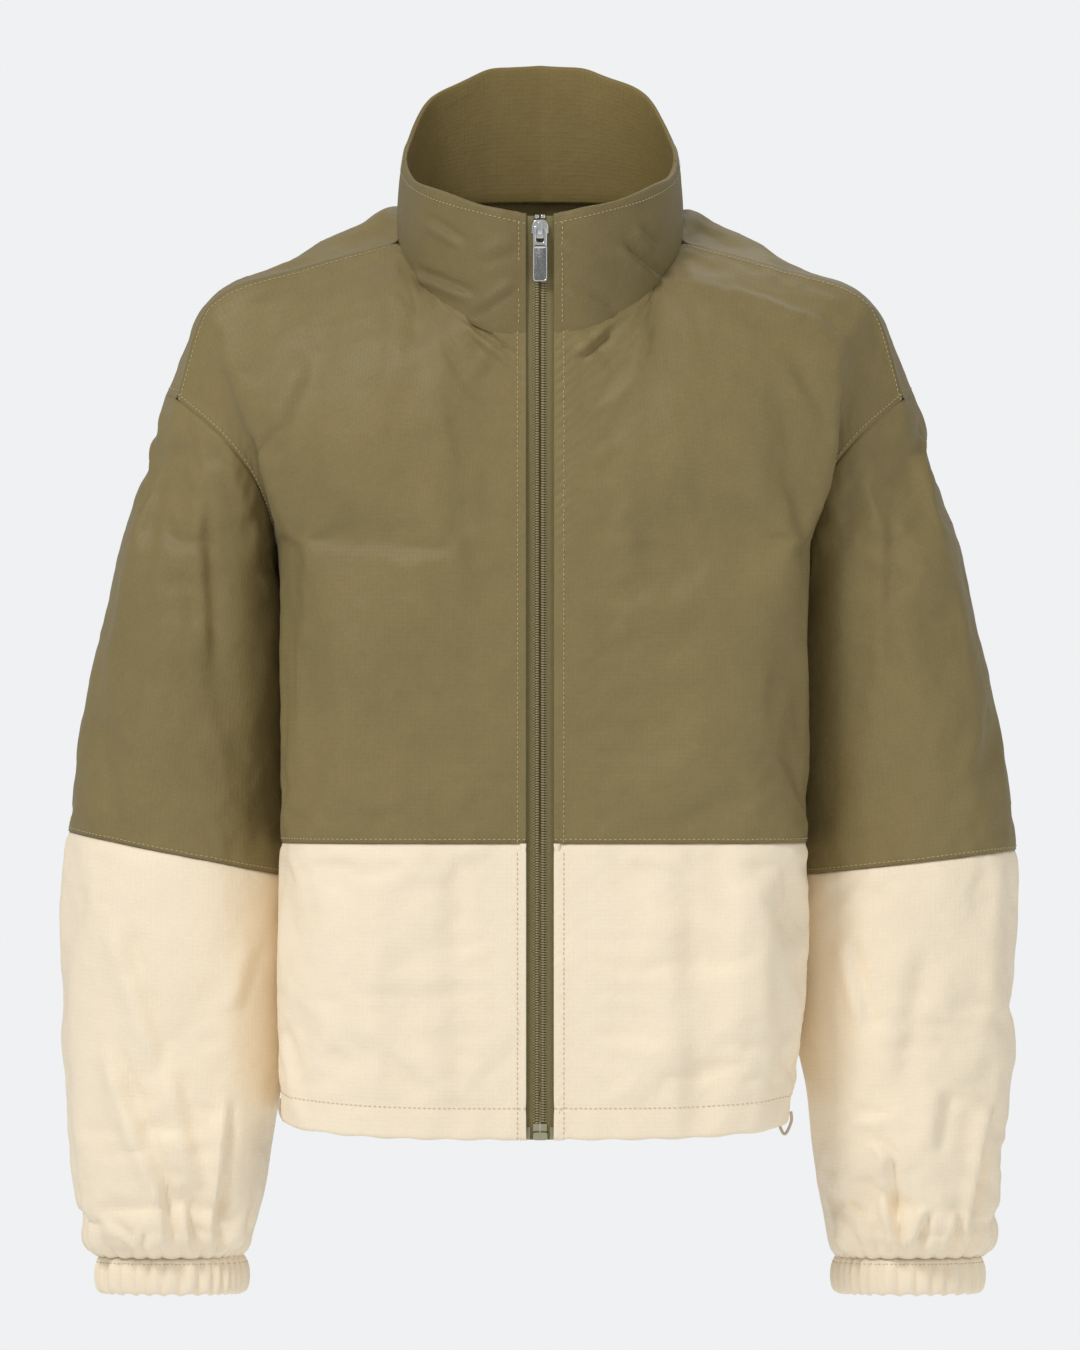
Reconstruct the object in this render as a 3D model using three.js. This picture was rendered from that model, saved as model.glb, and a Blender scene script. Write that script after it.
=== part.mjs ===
// A loose, cropped zip-up jacket in thin cloth, hanging as if worn: stand collar, dropped shoulders,
// full sleeves with elastic cuffs, a coil zip up the front, side-seam pockets and a drawcord hem.
// Millimetres. +Z is up, the front faces -Y, the wearer's left is +X.
// Origin: between the two highest points of the shoulders, where the jacket rests on its wearer.
import * as THREE from 'three';

// ---- driving dimensions ----
const CLOTH = 1.2; // thickness of one layer of cloth with its seam
const SEAM_GAP = 0.6; // clear space between two panels that are sewn together

const FRONT_Y = -114; // outer face of the fronts at the zip
const BACK_Y = 112; // outer face of the back
const SIDE_Y = 10; // side seam
const HALF_WIDTH = 174; // body at its front corner
const CORNER_Y = -75; // where the body is widest
const BODY_TAPER = 0.0009; // the body narrows by this share for each mm behind CORNER_Y
const SQUARENESS = 4; // exponent of the body's rounded-rectangle section

const ARMPIT_Z = -215;
const COLOUR_Z = -405; // seam between the upper and the lower colour
const HEM_Z = -592;
const HEM_LIFT = 14; // the hem rises this far from the centre to the sides
const HEM_DEPTH = 20;
const CASING_INSET = 7; // from the outside of the hem to its facing, with the drawcord between
const DRAWCORD = 2.2; // diameter
const HINGE_X = 90; // each front folds open about this line
const HINGE_GAP = 2.4; // clear space between the two parts of a front
const OPENING_X = 8.5; // edge of each front beside the zip

const RIM_Z = -9; // collar rim at the zip
const NECK_Z = -83; // collar seam at the zip
const COLLAR_GAP = 2.2; // between the outside of the collar and its facing

const SLEEVE_SEAM_Z = -413;
const SLEEVE_SEAM_SLANT = 14; // the sleeve's colour seam is this much higher outside, lower inside
const CUFF_TOP_Z = -672;
const CUFF_HEIGHT = 23;
const CUFF_X = 236;
const CUFF_HALF_WIDTH = 46;
const CUFF_HALF_DEPTH = 30;

const POCKET = { from: 98, to: 150, y: -94, low: -452, top: -292 }; // the bag in each side seam
const LOOP = { x: 162, y: -24, top: -578.4, low: -593, half: 4 }; // cord loop behind the hem

const TAPE_Y = -112.2; // front face of the zip tape
const TAPE = 0.7;
const TAPE_EDGE_X = 3.7;
const TAPE_OUTER_X = 16;
const COIL = { inner: 0.65, outer: 3.35, front: -113.4, back: -110.6 };
const COIL_TOP_Z = -12;
const COIL_BOTTOM_Z = -581.6;
const SLIDER = { halfWidth: 5.35, top: -12.5, bottom: -24.5, plate: 1.3 };
const SLIDER_CLEAR = 0.35;
const PULLER = { width: 9, length: 35, thick: 1.6, top: -16.4, windowHalf: 2.3, window: 8 };

// ---- small helpers ----
const V = (x, y, z) => new THREE.Vector3(x, y, z);
const mix = THREE.MathUtils.lerp;

// value at z of a profile given as [z, value] stations from the top down
function along(stations, z) {
  for (let i = 1; i < stations.length; i += 1) {
    const [z0, a] = stations[i - 1];
    const [z1, b] = stations[i];
    if (z >= z1) return mix(a, b, THREE.MathUtils.clamp((z - z0) / (z1 - z0), 0, 1));
  }
  return stations[stations.length - 1][1];
}

function curve(points) {
  return new THREE.CatmullRomCurve3(points.map((p) => V(...p)), false, 'centripetal');
}

const mirrored = (point, side) => V(point.x * side, point.y, point.z);

function solidFrom(positions, triangles) {
  const geometry = new THREE.BufferGeometry();
  geometry.setAttribute('position', new THREE.Float32BufferAttribute(positions, 3));
  let volume = 0;
  const at = (i) => V().fromArray(positions, 3 * i);
  triangles.forEach(([a, b, c]) => {
    volume += at(a).dot(at(b).cross(at(c)));
  });
  const order = volume < 0 ? ([a, b, c]) => [a, c, b] : (t) => t;
  geometry.setIndex(triangles.flatMap(order));
  return geometry;
}

// a closed solid: the sheet through rows of points, thickened away from its outer face
function sheet(rows, { thick = CLOTH, inside = V(0, 0, -300), wraps = false, inset = 0 } = {}) {
  const count = rows[0].length;
  const normals = rows.map((row, i) => row.map((_, j) => {
    const up = rows[Math.min(i + 1, rows.length - 1)][j].clone().sub(rows[Math.max(i - 1, 0)][j]);
    const next = wraps ? (j + 1) % count : Math.min(j + 1, count - 1);
    const last = wraps ? (j + count - 1) % count : Math.max(j - 1, 0);
    return row[next].clone().sub(row[last]).cross(up).normalize();
  }));
  let outward = 0;
  rows.forEach((row, i) => row.forEach((p, j) => {
    outward += p.clone().sub(inside).dot(normals[i][j]);
  }));
  const sign = Math.sign(outward);
  const positions = [];
  [inset, inset + thick].forEach((depth) => rows.forEach((row, i) => row.forEach((p, j) => {
    positions.push(...p.clone().addScaledVector(normals[i][j], -sign * depth).toArray());
  })));
  const index = (layer, i, j) => (layer * rows.length + i) * count + (j % count);
  const triangles = [];
  const quad = (a, b, c, d) => triangles.push([a, b, c], [a, c, d]);
  const across = wraps ? count : count - 1;
  for (let i = 0; i < rows.length - 1; i += 1) {
    for (let j = 0; j < across; j += 1) {
      quad(index(0, i, j), index(0, i, j + 1), index(0, i + 1, j + 1), index(0, i + 1, j));
      quad(index(1, i, j), index(1, i + 1, j), index(1, i + 1, j + 1), index(1, i, j + 1));
    }
  }
  [0, rows.length - 1].forEach((i) => {
    for (let j = 0; j < across; j += 1) {
      const loop = [index(0, i, j), index(1, i, j), index(1, i, j + 1), index(0, i, j + 1)];
      quad(...(i === 0 ? loop : loop.reverse()));
    }
  });
  if (!wraps) {
    [0, count - 1].forEach((j) => {
      for (let i = 0; i < rows.length - 1; i += 1) {
        const loop = [index(0, i, j), index(0, i + 1, j), index(1, i + 1, j), index(1, i, j)];
        quad(...(j === 0 ? loop : loop.reverse()));
      }
    });
  }
  return solidFrom(positions, triangles);
}

// points of a sheet: rows × columns of the function point(s, t), both 0 to 1
function grid(columns, rows, point) {
  return Array.from({ length: rows + 1 }, (_, i) => (
    Array.from({ length: columns + 1 }, (__, j) => point(j / columns, i / rows))
  ));
}

function box(x0, x1, y0, y1, z0, z1) {
  const geometry = new THREE.BoxGeometry(Math.abs(x1 - x0), Math.abs(y1 - y0), Math.abs(z1 - z0));
  return geometry.translate((x0 + x1) / 2, (y0 + y1) / 2, (z0 + z1) / 2);
}

function extrude(points, depth, holes = []) {
  const shape = new THREE.Shape(points.map(([x, y]) => new THREE.Vector2(x, y)));
  shape.holes = holes.map((hole) => new THREE.Path(hole.map(([x, y]) => new THREE.Vector2(x, y))));
  return new THREE.ExtrudeGeometry(shape, { depth, bevelEnabled: false });
}

function cord(path, radius, steps) {
  const section = new THREE.Shape();
  section.absarc(0, 0, radius, 0, 2 * Math.PI);
  return new THREE.ExtrudeGeometry(section, { steps, curveSegments: 4, extrudePath: path });
}

// ---- the body: horizontal sections below the armpit ----
const bodyWidth = (z) => along([[ARMPIT_Z, HALF_WIDTH], [-505, 173], [HEM_Z, 168]], z);

// a point of the section at height z; angle 0 is centre front, 90 the side, 180 centre back
function section(angle, z) {
  const a = THREE.MathUtils.degToRad(angle);
  const power = 2 / SQUARENESS;
  const depth = Math.cos(a) > 0 ? FRONT_Y - SIDE_Y : BACK_Y - SIDE_Y;
  const y = SIDE_Y + depth * Math.abs(Math.cos(a)) ** power;
  const x = bodyWidth(z) * Math.sin(a) ** power * (1 - BODY_TAPER * (y - CORNER_Y));
  return V(x, y, z);
}

// the angle of the section that is x from the centre plane, on the front
function frontAngle(x, z) {
  let [low, high] = [0, 60];
  for (let i = 0; i < 30; i += 1) {
    const middle = (low + high) / 2;
    if (section(middle, z).x < x) low = middle;
    else high = middle;
  }
  return low;
}

const hemZ = (angle) => HEM_Z + HEM_LIFT * Math.sin(THREE.MathUtils.degToRad(angle)) ** 2;

// ---- seams of the upper body, on the wearer's left ----
const NECK_SIDE = [HINGE_X, -35, -23];
const SHOULDER = [232, -35, -123]; // shoulder seam at the armhole
const UNDERARM = [166, SIDE_Y, -228];
const NECK_FRONT = [[OPENING_X, FRONT_Y, NECK_Z], [30, -112.5, -79], [64, -91, -61]];
const NECK_CENTRE = [0, 70, 13]; // centre back
const NECK_BACK = [[36, 64, 12], [70, 42, 8], [88, 8, 0]];
const necklineFront = curve([...NECK_FRONT, NECK_SIDE]);
const necklineBack = curve([NECK_CENTRE, ...NECK_BACK, NECK_SIDE]);
const shoulderSeam = curve([NECK_SIDE, [150, -37, -39], [208, -38, -60], SHOULDER]);
const armholeFront = curve([
  UNDERARM, [170, -30, -205], [181, -55, -175], [200, -62, -150], SHOULDER]);
const armholeBack = curve([
  UNDERARM, [172, 46, -196], [194, 64, -156], [222, 48, -130], [240, 4, -120], SHOULDER]);
const hingeLine = curve([[HINGE_X, FRONT_Y, ARMPIT_Z], [HINGE_X, -108, -130], [HINGE_X, -80, -60],
  NECK_SIDE]);
const foldLine = curve([[176, -86, ARMPIT_Z], [186, -90, -160], [197, -80, -105], [208, -38, -60]]);
const bladeLine = curve([[104, BACK_Y, ARMPIT_Z], [110, 104, -120], [104, 70, -45], [96, 20, -8],
  NECK_SIDE]);
const FOLD = 0.42; // share of the side front that lies flat, before its corner
const HINGE_ANGLE = frontAngle(HINGE_X, ARMPIT_Z);
const BLADE = 0.4; // share of half the back that lies between the centre and the shoulder blade
const BLADE_ANGLE = 165; // the section angle there

// the surface between guide curves, eased on to the body's section at its lower edge
function yoke(guide, angle, t) {
  const foot = section(angle, ARMPIT_Z).sub(guide(0));
  return guide(t).addScaledVector(foot, (1 - t) ** 2);
}

function centreFront(s, t) {
  const guide = (h) => {
    const low = V(mix(OPENING_X, HINGE_X, s), FRONT_Y, ARMPIT_Z);
    const top = necklineFront.getPoint(s);
    const straight = low.lerp(top, h);
    const edge = hingeLine.getPoint(h);
    const chord = V(HINGE_X, FRONT_Y, ARMPIT_Z).lerp(V(...NECK_SIDE), h);
    return straight.addScaledVector(edge.sub(chord), s * s);
  };
  const foot = section(frontAngle(mix(OPENING_X, HINGE_X, s), ARMPIT_Z), ARMPIT_Z).sub(guide(0));
  return guide(t).addScaledVector(foot, (1 - t) ** 2);
}

function sideFront(s, t) {
  const guide = (h) => {
    const hinge = hingeLine.getPoint(h);
    const fold = foldLine.getPoint(h);
    if (s < FOLD) return hinge.lerp(fold, s / FOLD);
    return fold.lerp(armholeFront.getPoint(h), (s - FOLD) / (1 - FOLD));
  };
  return yoke(guide, mix(HINGE_ANGLE, 90, s), t);
}

// half of the back: s runs from the centre to the armhole
function halfBack(s, t) {
  const guide = (h) => {
    const blade = bladeLine.getPoint(h);
    if (s < BLADE) {
      const centre = V(0, BACK_Y, ARMPIT_Z).lerp(V(...NECK_CENTRE), h);
      centre.y += 22 * Math.sin(Math.PI * h) * h;
      const chord = centre.lerp(blade, s / BLADE);
      const straight = V(...NECK_CENTRE).lerp(V(...NECK_SIDE), s / BLADE);
      return chord.addScaledVector(necklineBack.getPoint(s / BLADE).sub(straight), h ** 3);
    }
    const u = (s - BLADE) / (1 - BLADE);
    const p = blade.lerp(armholeBack.getPoint(h), u);
    const seam = shoulderSeam.getPoint(u).sub(V(...NECK_SIDE).lerp(V(...SHOULDER), u));
    p.addScaledVector(seam, h ** 3);
    p.y += 20 * Math.sin(Math.PI * u) * Math.sin(Math.PI * h);
    p.z += 22 * Math.sin(Math.PI * u) * h ** 2 * (1 - h) * 4;
    return p;
  };
  const angle = s < BLADE ? mix(180, BLADE_ANGLE, s / BLADE)
    : mix(BLADE_ANGLE, 90, (s - BLADE) / (1 - BLADE));
  return yoke(guide, angle, t);
}

// an upper panel: rows of the body's section up to the armpit, then rows of the yoke
function upperPanel(columns, angleAt, yokeAt, foot = COLOUR_Z + SEAM_GAP / 2) {
  const straight = grid(columns, 3, (s, t) => {
    const z = mix(foot, ARMPIT_Z, t);
    return section(angleAt(s, z), z);
  });
  const top = grid(columns, 7, yokeAt);
  const side = Math.abs(angleAt(1, foot) - 90) < 1;
  const all = straight.concat(top.slice(1));
  return all.map((row, i) => row.map((p, j) => {
    const last = side && j === columns;
    return last && i <= 3 ? V(p.x, p.y, mix(foot, UNDERARM[2], i / 3)) : p;
  }));
}

const lowerPanel = (columns, angleAt) => grid(columns, 6, (s, t) => {
  const z = mix(hemZ(angleAt(s, HEM_Z)), COLOUR_Z - SEAM_GAP / 2, t);
  return section(angleAt(s, z), z);
});

const hemFacing = (columns, angleAt) => grid(columns, 2, (s, t) => (
  section(angleAt(s), hemZ(angleAt(s)) + mix(1, HEM_DEPTH, t))));

const sideOf = (rows, side) => rows.map((row) => row.map((p) => mirrored(p, side)));

// ---- sleeves ----
const sleeveOuter = (z) => along([[-119, 241], [-169, 257], [-220, 270], [-321, 291], [-423, 306],
  [-537, 306], [-613, 300], [-651, 293], [CUFF_TOP_Z, 283]], z);
const sleeveInner = (z) => along([[-228, 167], [-500, 167], [-588, 169], [-639, 178],
  [CUFF_TOP_Z, 189]], z);
const sleeveDepth = (z) => along([[-119, 60], [-230, 66], [-400, 58], [-600, 54], [-650, 42],
  [CUFF_TOP_Z, 32]], z);
const sleeveY = (z) => along([[-119, 2], [-230, 6], [-400, 10], [CUFF_TOP_Z, 0]], z);

// a point of the sleeve's section; angle 0 is outermost, 90 at the back, 180 innermost, -90 in front
function sleeveSection(angle, z) {
  const a = THREE.MathUtils.degToRad(angle);
  const middle = (sleeveOuter(z) + sleeveInner(z)) / 2;
  const half = (sleeveOuter(z) - sleeveInner(z)) / 2;
  return V(middle + half * Math.cos(a), sleeveY(z) + sleeveDepth(z) * Math.sin(a), z);
}

const SHOULDER_ANGLE = -35; // where the shoulder seam meets the sleeve
const BACK_SHARE = 0.58; // share of the armhole that is behind the shoulder seam

// once round the armhole, s 0 to 1, from the underarm over the back to the top and down the front
function armhole(s) {
  if (s < BACK_SHARE) {
    const u = s / BACK_SHARE;
    return { point: armholeBack.getPoint(u), angle: mix(180, SHOULDER_ANGLE, u) };
  }
  const u = (s - BACK_SHARE) / (1 - BACK_SHARE);
  return { point: armholeFront.getPoint(1 - u), angle: mix(SHOULDER_ANGLE, -180, u) };
}

const sleeveSeamZ = (angle) => (
  SLEEVE_SEAM_Z + SLEEVE_SEAM_SLANT * Math.cos(THREE.MathUtils.degToRad(angle)));

function upperSleeve(s, t) {
  const { point, angle } = armhole(s);
  const z = mix(point.z, sleeveSeamZ(angle) + SEAM_GAP / 2, t);
  const start = sleeveSection(angle, point.z).multiplyScalar(-1).add(point);
  const eased = sleeveSection(angle, z).addScaledVector(start, (1 - t) ** 2);
  const away = (1 - t) ** 4;
  return eased.add(V(2.4 * away, 0, -2.0 * away));
}

function lowerSleeve(s, t) {
  const angle = mix(180, -180, s);
  return sleeveSection(angle, mix(sleeveSeamZ(angle) - SEAM_GAP / 2, CUFF_TOP_Z + SEAM_GAP / 2, t));
}

const tube = (columns, rows, point) => grid(columns, rows, point).map((row) => row.slice(0, -1));

// a ring swept round the cuff: profile points are [distance out from the cuff line, z]
function cuffRing(profile, columns = 24) {
  const positions = [];
  for (let j = 0; j < columns; j += 1) {
    const a = (2 * Math.PI * j) / columns;
    profile.forEach(([out, z]) => positions.push(
      CUFF_X + (CUFF_HALF_WIDTH + out) * Math.cos(a),
      (CUFF_HALF_DEPTH + out) * Math.sin(a),
      z,
    ));
  }
  const triangles = [];
  for (let j = 0; j < columns; j += 1) {
    for (let k = 0; k < profile.length; k += 1) {
      const a = j * profile.length + k;
      const b = j * profile.length + ((k + 1) % profile.length);
      const c = ((j + 1) % columns) * profile.length + k;
      const d = ((j + 1) % columns) * profile.length + ((k + 1) % profile.length);
      triangles.push([a, b, d], [a, d, c]);
    }
  }
  return solidFrom(positions, triangles);
}

function flip(geometry, side) {
  if (side > 0) return geometry;
  const { array } = geometry.getAttribute('position');
  const source = geometry.getIndex();
  const order = Array.from(source ? source.array : Array(array.length / 3).keys());
  const triangles = [];
  for (let i = 0; i < order.length; i += 3) triangles.push(order.slice(i, i + 3));
  return solidFrom(Array.from(array, (value, i) => (i % 3 === 0 ? -value : value)), triangles);
}

// ---- collar ----
const rim = curve([[OPENING_X, FRONT_Y, RIM_Z], [30, -112, -4], [70, -77, 9], [87, -30, 25], [86, 6, 44],
  [70, 42, 74], [36, 64, 92], [0, 70, 96]]);
const base = curve([...NECK_FRONT, NECK_SIDE, ...[...NECK_BACK].reverse(), NECK_CENTRE]);
const COLLAR_SPLIT = 0.46; // share of the half collar that opens with the front

function collarWall(s, t) {
  const low = base.getPoint(s);
  const wall = low.clone().lerp(rim.getPoint(s), t);
  wall.z += 1.2 * (1 - t);
  return wall;
}

function collarPart(from, to, columns, side) {
  return sideOf(grid(columns, 3, (s, t) => collarWall(mix(from, to, s), t)), side);
}

// ---- zip hardware ----
function sliderBody() {
  const { halfWidth: w, plate } = SLIDER;
  const front = COIL.front - SLIDER_CLEAR;
  const back = COIL.back + SLIDER_CLEAR;
  const lip = 0.75; // flanges that keep the coils in
  const flange = 0.45; // clear space between a flange and the tape
  const post = 0.3;
  const outline = [
    [post, front], [w - lip, front], [w - lip, TAPE_Y - flange], [w, TAPE_Y - flange],
    [w, front - plate], [-w, front - plate], [-w, TAPE_Y - flange], [-(w - lip), TAPE_Y - flange],
    [-(w - lip), front], [-post, front], [-post, back], [-(w - lip), back],
    [-(w - lip), TAPE_Y + TAPE + flange], [-w, TAPE_Y + TAPE + flange], [-w, back + plate],
    [w, back + plate], [w, TAPE_Y + TAPE + flange], [w - lip, TAPE_Y + TAPE + flange],
    [w - lip, back], [post, back],
  ];
  return extrude(outline, SLIDER.top - SLIDER.bottom).translate(0, 0, SLIDER.bottom);
}

const SLIDER_FACE = COIL.front - SLIDER_CLEAR - SLIDER.plate;
const BAIL = { height: 3.6, wall: 0.9, top: -13.4, bottom: -22.4, halfWidth: 1.4 };

// an arch on the slider's face, seen from the side, that the puller hangs from
function bail() {
  const y0 = SLIDER_FACE - 0.3;
  const { height, wall, top, bottom, halfWidth } = BAIL;
  const outline = [[y0, top], [y0 - height + 1, top], [y0 - height, top - 1],
    [y0 - height, bottom + 1], [y0 - height + 1, bottom], [y0, bottom], [y0, bottom + wall],
    [y0 - height + wall + 0.3, bottom + wall], [y0 - height + wall, bottom + wall + 0.3],
    [y0 - height + wall, top - wall - 0.3], [y0 - height + wall + 0.3, top - wall], [y0, top - wall]];
  const geometry = extrude(outline, 2 * halfWidth);
  return geometry.applyMatrix4(new THREE.Matrix4().set(
    0, 0, 1, -halfWidth, 1, 0, 0, 0, 0, 1, 0, 0, 0, 0, 0, 1));
}

function puller() {
  const { width, length, thick, top, windowHalf, window } = PULLER;
  const w = width / 2;
  const bar = 1.7;
  const outline = [[-w, -length + 1.5], [-w + 1.5, -length], [w - 1.5, -length], [w, -length + 1.5],
    [w, -4], [w - 1.6, -1], [w - 3, 0], [-w + 3, 0], [-w + 1.6, -1], [-w, -4]];
  const hole = [[-windowHalf, -bar], [windowHalf, -bar], [windowHalf, -bar - window],
    [-windowHalf, -bar - window]];
  const y = SLIDER_FACE - 0.3 - (BAIL.height - BAIL.wall) / 2 - thick / 2;
  return extrude(outline, thick, [hole]).rotateX(Math.PI / 2).translate(0, y + thick, top);
}

function topStop(side) {
  return box(side * COIL.inner, side * COIL.outer, COIL.front - 0.2, COIL.back + 0.2, -11.7, -9.4);
}

// the zip's fixed half on the wearer's left, or the half that pulls free on the wearer's right
function zipTape(side) {
  const notch = side < 0 ? SLIDER.halfWidth + 0.5 : TAPE_EDGE_X;
  const shape = [[TAPE_EDGE_X, HEM_Z + 0.5], [TAPE_OUTER_X, HEM_Z + 0.5], [TAPE_OUTER_X, RIM_Z - 1],
    [notch, RIM_Z - 1], [notch, SLIDER.bottom - 1], [TAPE_EDGE_X, SLIDER.bottom - 1]];
  const outline = side < 0 ? shape : shape.slice(0, 4);
  return flip(extrude(outline, TAPE).rotateX(Math.PI / 2).translate(0, TAPE_Y + TAPE, 0), side);
}

function zipCoil(side) {
  const top = side < 0 ? SLIDER.bottom - 0.6 : COIL_TOP_Z;
  return box(side * COIL.inner, side * COIL.outer, COIL.front, COIL.back, COIL_BOTTOM_Z, top);
}

// ---- materials ----
const finish = (color, roughness, metalness = 0) => (
  new THREE.MeshStandardMaterial({ color, roughness, metalness, side: THREE.FrontSide }));
const OLIVE = finish(0x857750, 0.7);
const OLIVE_INSIDE = finish(0x6c6040, 0.75);
const CREAM = finish(0xeee0c6, 0.7);
const TAPE_CLOTH = finish(0x8d8058, 0.85);
const COIL_NYLON = finish(0x9a8d66, 0.45);
const STEEL = finish(0xb8b8b6, 0.3, 1);
const CLEAR_PLASTIC = finish(0x8e8f72, 0.25);
const ELASTIC = finish(0xe6e0d2, 0.9);
const CORD = finish(0xcdbf9f, 0.85);

// ---- assembly ----
const jacket = new THREE.Group();
function add(name, geometry, material) {
  const mesh = new THREE.Mesh(geometry, material);
  mesh.name = name;
  jacket.add(mesh);
}

const FRONTS = V(0, 0, -300);
const SIDE_GAP = 0.15; // degrees from the side seam to each panel's edge
const BACK_COLUMNS = 22;
const angleCentre = (s, z) => frontAngle(mix(OPENING_X, HINGE_X - HINGE_GAP / 2, s), z);
const angleSide = (s, z) => mix(frontAngle(HINGE_X + HINGE_GAP / 2, z), 90 - SIDE_GAP, s);
const angleBack = (s) => mix(270 - SIDE_GAP, 90 + SIDE_GAP, s);

function backSection(angle, z) {
  return angle > 180 ? mirrored(section(360 - angle, z), -1) : section(angle, z);
}

function backRows(count, lowZ, highZ) {
  return grid(BACK_COLUMNS, count, (s, t) => {
    const angle = angleBack(s);
    const folded = angle > 180 ? 360 - angle : angle;
    return backSection(angle, mix(lowZ(folded), highZ, t));
  });
}

function backUpper() {
  const column = (s) => {
    const side = s < 0.5 ? -1 : 1;
    return { side, out: Math.abs(2 * s - 1) };
  };
  const straight = grid(BACK_COLUMNS, 3, (s, t) => {
    const { side, out } = column(s);
    const top = out === 1 ? UNDERARM[2] : ARMPIT_Z;
    const angle = out < BLADE ? mix(180, BLADE_ANGLE, out / BLADE)
      : mix(BLADE_ANGLE, 90 + SIDE_GAP, (out - BLADE) / (1 - BLADE));
    return mirrored(section(angle, mix(COLOUR_Z + SEAM_GAP / 2, top, t)), side);
  });
  const top = grid(BACK_COLUMNS, 9, (s, t) => {
    const { side, out } = column(s);
    return mirrored(halfBack(out * 0.996, t * 0.99), side);
  });
  return straight.concat(top.slice(1));
}

function addBody(side, name) {
  const olive = (rows, label, options) => add(`${name}_${label}`, sheet(sideOf(rows, side), options),
    OLIVE);
  const centre = upperPanel(4, angleCentre, (s, t) => {
    const p = centreFront(s, t * 0.99);
    p.x = Math.min(p.x, HINGE_X - HINGE_GAP / 2);
    return p;
  });
  olive(centre, 'front_upper_centre', { inside: FRONTS });
  const outer = upperPanel(9, angleSide, (s, t) => {
    const p = sideFront(s * 0.995, t * 0.985);
    p.x = Math.max(p.x, HINGE_X + HINGE_GAP / 2);
    return p;
  });
  olive(outer, 'front_upper_side', { inside: FRONTS });
  const cream = (rows, label, options) => add(`${name}_${label}`, sheet(sideOf(rows, side), options),
    CREAM);
  cream(lowerPanel(4, angleCentre), 'front_lower_centre', {});
  cream(lowerPanel(9, angleSide), 'front_lower_side', {});
  const facing = { thick: 0.8, inset: CASING_INSET };
  const start = (s) => frontAngle(mix(TAPE_OUTER_X + 8, HINGE_X - 3, s), HEM_Z);
  cream(hemFacing(3, start), 'hem_facing_front', facing);
  cream(hemFacing(10, (s) => mix(frontAngle(HINGE_X + 3, HEM_Z), 89, s)), 'hem_facing_side', facing);
}

function addFrontTrim(side, name) {
  const zip = [side * (SLIDER.halfWidth + 0.6), side * 24];
  const back = TAPE_Y + TAPE + 0.4;
  add(`${name}_front_facing`, box(...zip, back, back + 0.8, HEM_Z + 1, NECK_Z - 1), OLIVE);
  add(`${name}_zip_tape`, zipTape(side), TAPE_CLOTH);
  add(`${name}_zip_coil`, zipCoil(side), COIL_NYLON);
  add(`${name}_zip_top_stop`, topStop(side), STEEL);
  add(`${name}_tape_film`, box(side * 6.2, side * 9.4, TAPE_Y - 0.6, TAPE_Y - 0.3, -591.4, -583.5),
    CLEAR_PLASTIC);
}

function addPocket(side, name) {
  const { from, to, y, low, top } = POCKET;
  const bag = grid(3, 3, (s, t) => V(mix(from, to, s), y + 16 * s * s, mix(low, top, t)));
  add(`${name}_pocket_bag`, sheet(sideOf(bag, side), { inside: V(0, 60, -370) }), OLIVE_INSIDE);
}

function addSleeve(side, name) {
  const middle = V(side * CUFF_X, 0, -400);
  const solid = (columns, rows, point) => sheet(sideOf(tube(columns, rows, point), side),
    { inside: middle, wraps: true });
  add(`${name}_sleeve_upper`, solid(20, 8, upperSleeve), OLIVE);
  add(`${name}_sleeve_lower`, solid(20, 7, lowerSleeve), CREAM);
  const [top, low] = [CUFF_TOP_Z, CUFF_TOP_Z - CUFF_HEIGHT];
  const casing = [[0, top], [1, top - 4], [1.4, low + 3], [0, low], [-4, low], [-5.4, low + 3],
    [-5, top], [-4, top], [-4.2, low + 3.4], [-3.4, low + 1.4], [-0.6, low + 1.4],
    [0.2, low + 3.4], [-1, top]];
  add(`${name}_cuff_casing`, flip(cuffRing(casing), side), CREAM);
  const band = [[-1.6, top - 3], [-1.6, low + 4], [-3, low + 4], [-3, top - 3]];
  add(`${name}_cuff_elastic`, flip(cuffRing(band), side), ELASTIC);
}

function addCollar(side, name) {
  const outside = { inside: V(0, -20, 20) };
  const lining = { ...outside, thick: 0.8, inset: CLOTH + COLLAR_GAP };
  const front = collarPart(0, COLLAR_SPLIT - 0.012, 6, side);
  add(`${name}_collar_front`, sheet(front, outside), OLIVE);
  add(`${name}_collar_front_facing`, sheet(front, lining), OLIVE_INSIDE);
}

function addCollarBack() {
  const outside = { inside: V(0, -20, 20) };
  const rows = grid(14, 3, (s, t) => {
    const side = s < 0.5 ? -1 : 1;
    return mirrored(collarWall(1 - Math.abs(2 * s - 1) * (1 - COLLAR_SPLIT), t), side);
  });
  add('collar_back', sheet(rows, outside), OLIVE);
  add('collar_back_facing', sheet(rows, { ...outside, thick: 0.8, inset: CLOTH + COLLAR_GAP }),
    OLIVE_INSIDE);
}

function addBack() {
  add('back_upper', sheet(backUpper(), {}), OLIVE);
  const low = (angle) => hemZ(angle);
  add('back_lower', sheet(backRows(6, low, COLOUR_Z - SEAM_GAP / 2), {}), CREAM);
  const facing = grid(18, 2, (s, t) => {
    const angle = mix(269, 91, s);
    const folded = angle > 180 ? 360 - angle : angle;
    return backSection(angle, hemZ(folded) + mix(1, HEM_DEPTH, t));
  });
  add('hem_facing_back', sheet(facing, { thick: 0.8, inset: CASING_INSET }), CREAM);
}

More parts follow.
